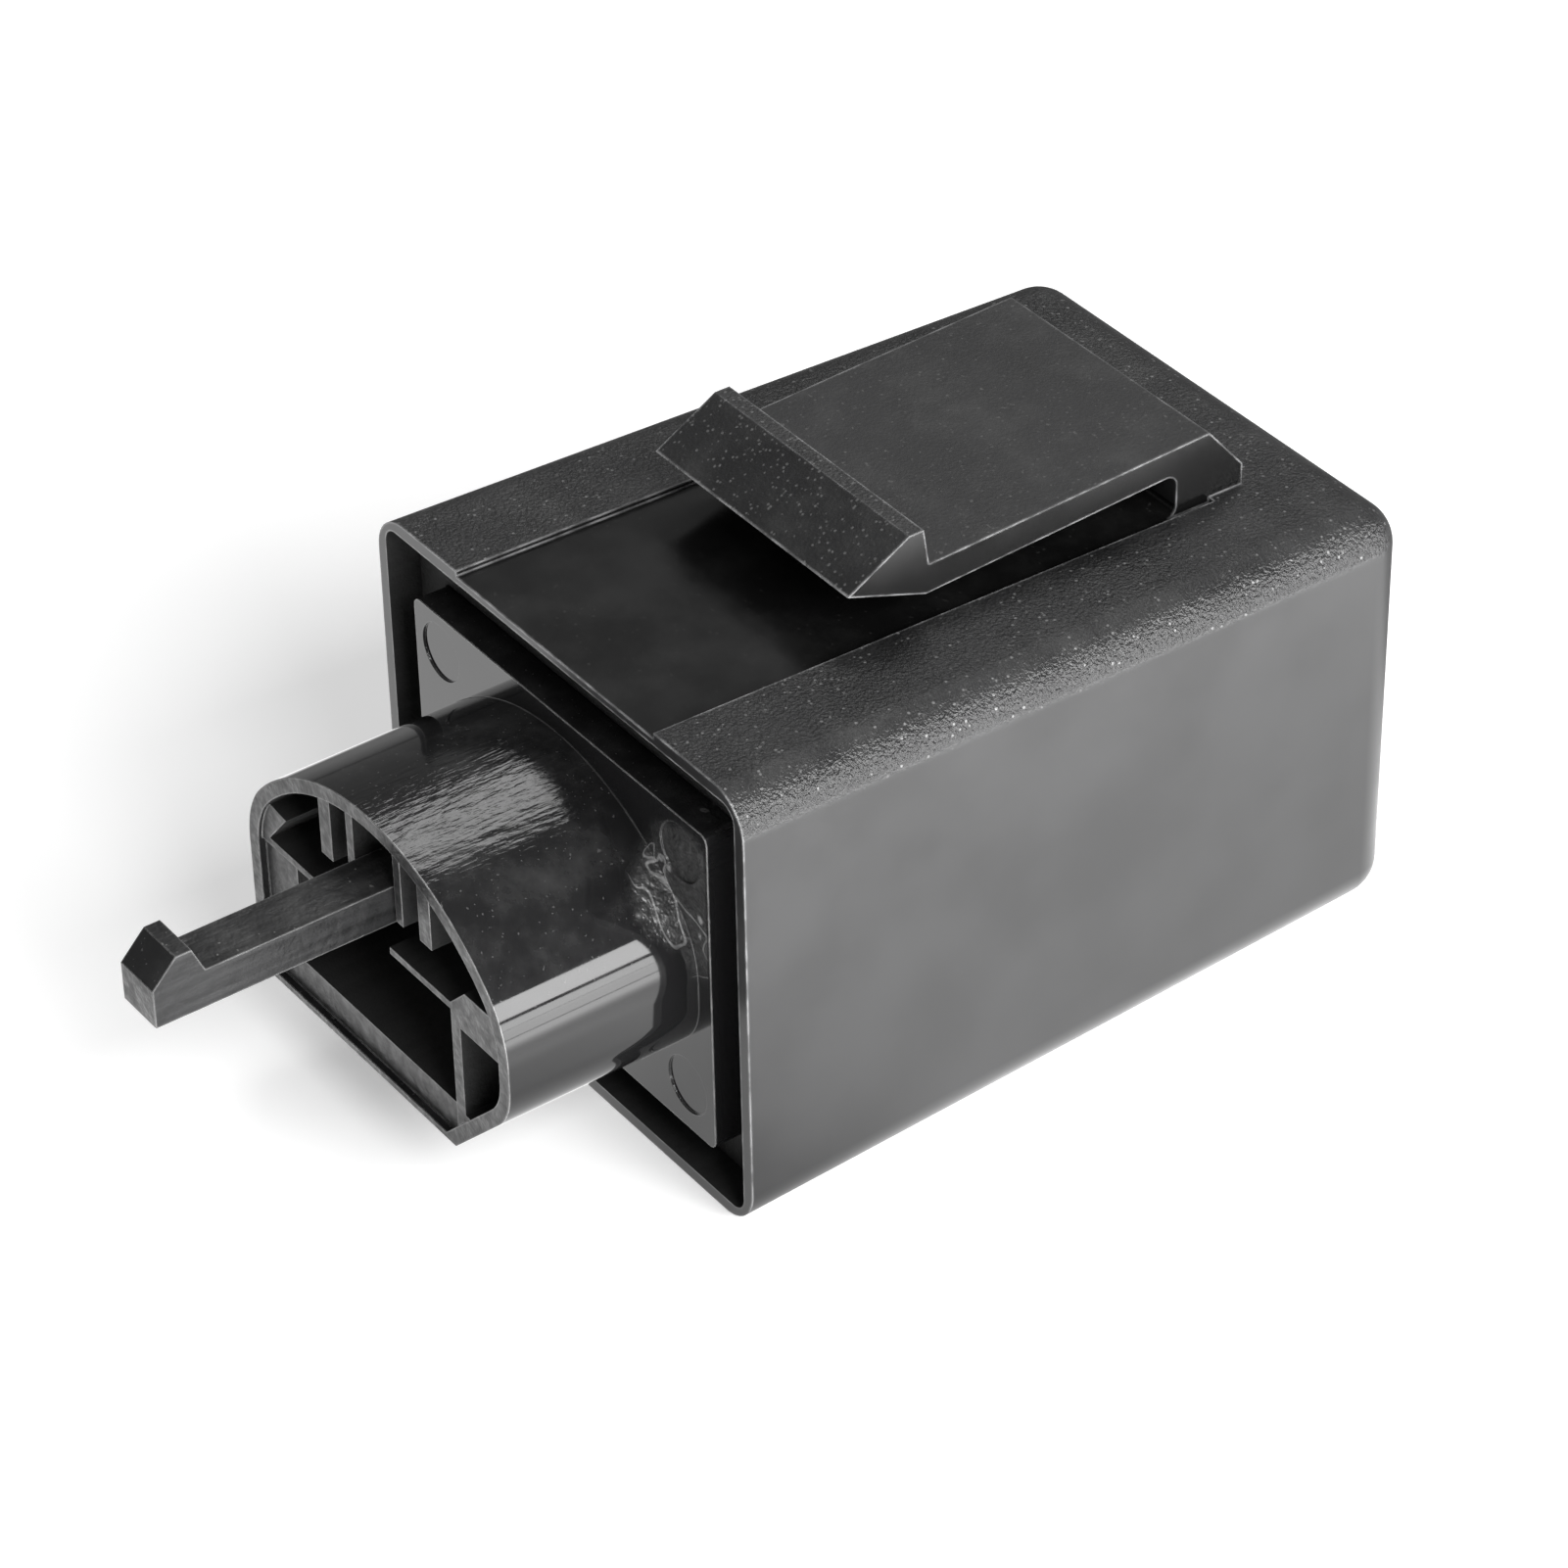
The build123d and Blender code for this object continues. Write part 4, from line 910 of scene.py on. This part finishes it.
# %% A helper for Geometry Nodes
def geometry_tree(name, sizes):
    """An empty geometry tree with named size inputs: (tree, input sockets, output node)."""
    tree = bpy.data.node_groups.new(name, "GeometryNodeTree")
    tree.interface.new_socket("Geometry", in_out="INPUT", socket_type="NodeSocketGeometry")
    for label, value in sizes.items():
        socket = tree.interface.new_socket(label, in_out="INPUT", socket_type="NodeSocketFloat")
        socket.default_value = value
    tree.interface.new_socket("Geometry", in_out="OUTPUT", socket_type="NodeSocketGeometry")
    entry = tree.nodes.new("NodeGroupInput")
    return tree, entry.outputs, tree.nodes.new("NodeGroupOutput")


def grown_piece(name, tree, sizes, start=None):
    """The plain mesh object that a geometry tree makes with these sizes."""
    mesh = start or bpy.data.meshes.new(name + "_start")
    made = bpy.data.objects.new(name, mesh)
    bpy.context.scene.collection.objects.link(made)
    grow = made.modifiers.new("grow", "NODES")
    grow.node_group = tree
    for item in tree.interface.items_tree:
        if item.in_out == "INPUT" and item.name in sizes:
            grow[item.identifier] = sizes[item.name]
    ready = made.evaluated_get(bpy.context.evaluated_depsgraph_get())
    made.data = bpy.data.meshes.new_from_object(ready)
    made.modifiers.clear()
    print(name, "has", len(made.data.polygons), "faces")
    return made


# %% Coil wire
winding, given, result = geometry_tree(
    "winding",
    {"Radius": 5 * MM, "Length": 13 * MM, "Wire": 0.25 * MM, "Start": 12 * MM, "Height": 0.0},
)
turns = math_node(winding, "DIVIDE", given["Length"], given["Wire"])
spiral = add_node(
    winding,
    "GeometryNodeCurveSpiral",
    {
        "Resolution": 28,
        "Rotations": turns,
        "Start Radius": given["Radius"],
        "End Radius": given["Radius"],
        "Height": given["Length"],
    },
)
section = add_node(
    winding,
    "GeometryNodeCurvePrimitiveCircle",
    {"Resolution": 6, "Radius": math_node(winding, "MULTIPLY", given["Wire"], 0.5)},
)
swept = add_node(
    winding,
    "GeometryNodeCurveToMesh",
    {
        "Curve": spiral.outputs["Curve"],
        "Profile Curve": section.outputs["Curve"],
        "Fill Caps": True,
    },
)
middle = add_node(
    winding, "ShaderNodeCombineXYZ", {"Y": given["Start"], "Z": given["Height"]}
)
laid = add_node(
    winding,
    "GeometryNodeTransform",
    {
        "Geometry": swept.outputs["Mesh"],
        "Translation": middle.outputs[0],
        "Rotation": (-math.pi / 2, 0, 0),
    },
)
plain = add_node(winding, "GeometryNodeRealizeInstances", {"Geometry": laid.outputs[0]})
coated = add_node(
    winding,
    "GeometryNodeSetMaterial",
    {"Geometry": plain.outputs[0], "Material": metals["enamelled_copper"]},
)
winding.links.new(coated.outputs[0], result.inputs["Geometry"])

WIRE = 0.25 * MM
drum_low, drum_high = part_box("coil_winding")
coil_wire = grown_piece(
    "coil_wire",
    winding,
    {
        "Radius": (drum_high[0] - drum_low[0]) / 2,
        "Length": drum_high[1] - drum_low[1] - 2 * WIRE,
        "Wire": WIRE,
        "Start": drum_low[1] + WIRE,
        "Height": (drum_high[2] + drum_low[2]) / 2,
    },
)
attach(coil_wire, "relay")

# %% [markdown]
# Each blade's tail is soldered where it stands in the board. A solder joint is a small
# cone with a hollow flank that climbs the tail. One joint is made as a turned profile and
# placed on every tail, so Geometry Nodes put them there from a mesh of single points.

# %% Solder joints
TIP_SHARE, WAIST_SHARE = 0.35, 0.9
joints_tree, given, result = geometry_tree(
    "solder joints", {"Foot": 1.1 * MM, "Rise": 0.6 * MM}
)
cone = add_node(
    joints_tree,
    "GeometryNodeMeshCone",
    {
        "Vertices": 16,
        "Side Segments": 4,
        "Radius Top": math_node(joints_tree, "MULTIPLY", given["Foot"], TIP_SHARE),
        "Radius Bottom": given["Foot"],
        "Depth": given["Rise"],
    },
)
place = add_node(joints_tree, "GeometryNodeInputPosition").outputs[0]
apart = add_node(joints_tree, "ShaderNodeSeparateXYZ", {"Vector": place})
risen = math_node(joints_tree, "DIVIDE", apart.outputs["Z"], given["Rise"])
sag = math_node(joints_tree, "MULTIPLY", risen, math_node(joints_tree, "SUBTRACT", 1.0, risen))
sag = math_node(joints_tree, "MULTIPLY", sag, WAIST_SHARE)
pulled_in = math_node(joints_tree, "SUBTRACT", 1.0, sag)
waisted = add_node(
    joints_tree,
    "ShaderNodeCombineXYZ",
    {
        "X": math_node(joints_tree, "MULTIPLY", apart.outputs["X"], pulled_in),
        "Y": math_node(joints_tree, "MULTIPLY", apart.outputs["Y"], pulled_in),
        "Z": apart.outputs["Z"],
    },
)
flank = add_node(
    joints_tree,
    "GeometryNodeSetPosition",
    {"Geometry": cone.outputs["Mesh"], "Position": waisted.outputs[0]},
)
stood = add_node(
    joints_tree,
    "GeometryNodeInstanceOnPoints",
    {
        "Points": given["Geometry"],
        "Instance": flank.outputs["Geometry"],
        "Rotation": (-math.pi / 2, 0, 0),
    },
)
plain = add_node(joints_tree, "GeometryNodeRealizeInstances", {"Geometry": stood.outputs[0]})
smooth = add_node(joints_tree, "GeometryNodeSetShadeSmooth", {"Geometry": plain.outputs[0]})
coated = add_node(
    joints_tree,
    "GeometryNodeSetMaterial",
    {"Geometry": smooth.outputs[0], "Material": metals["solder"]},
)
joints_tree.links.new(coated.outputs[0], result.inputs["Geometry"])

board_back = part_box("circuit_board")[1][1]
tails = []
for node_name in sorted(nodes):
    if node_name.startswith("terminal_blade_"):
        low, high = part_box(node_name)
        tails.append(((low[0] + high[0]) / 2, board_back, (low[2] + high[2]) / 2))
tail_points = bpy.data.meshes.new("tail_points")
tail_points.from_pydata(tails, [], [])
solder_joints = grown_piece(
    "solder_joints", joints_tree, {"Foot": 1.1 * MM, "Rise": 0.6 * MM}, tail_points
)
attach(solder_joints, "relay")

# %% [markdown]
# The dressed relay must stay inside the solid model's box. How much the box has grown
# along each axis is printed.

# %% Sizes
dressed_low, dressed_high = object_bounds()
spans = zip(cad_high - cad_low, dressed_high - dressed_low)
print("grown by, in mm:", [round((after - before) / MM, 3) for before, after in spans])
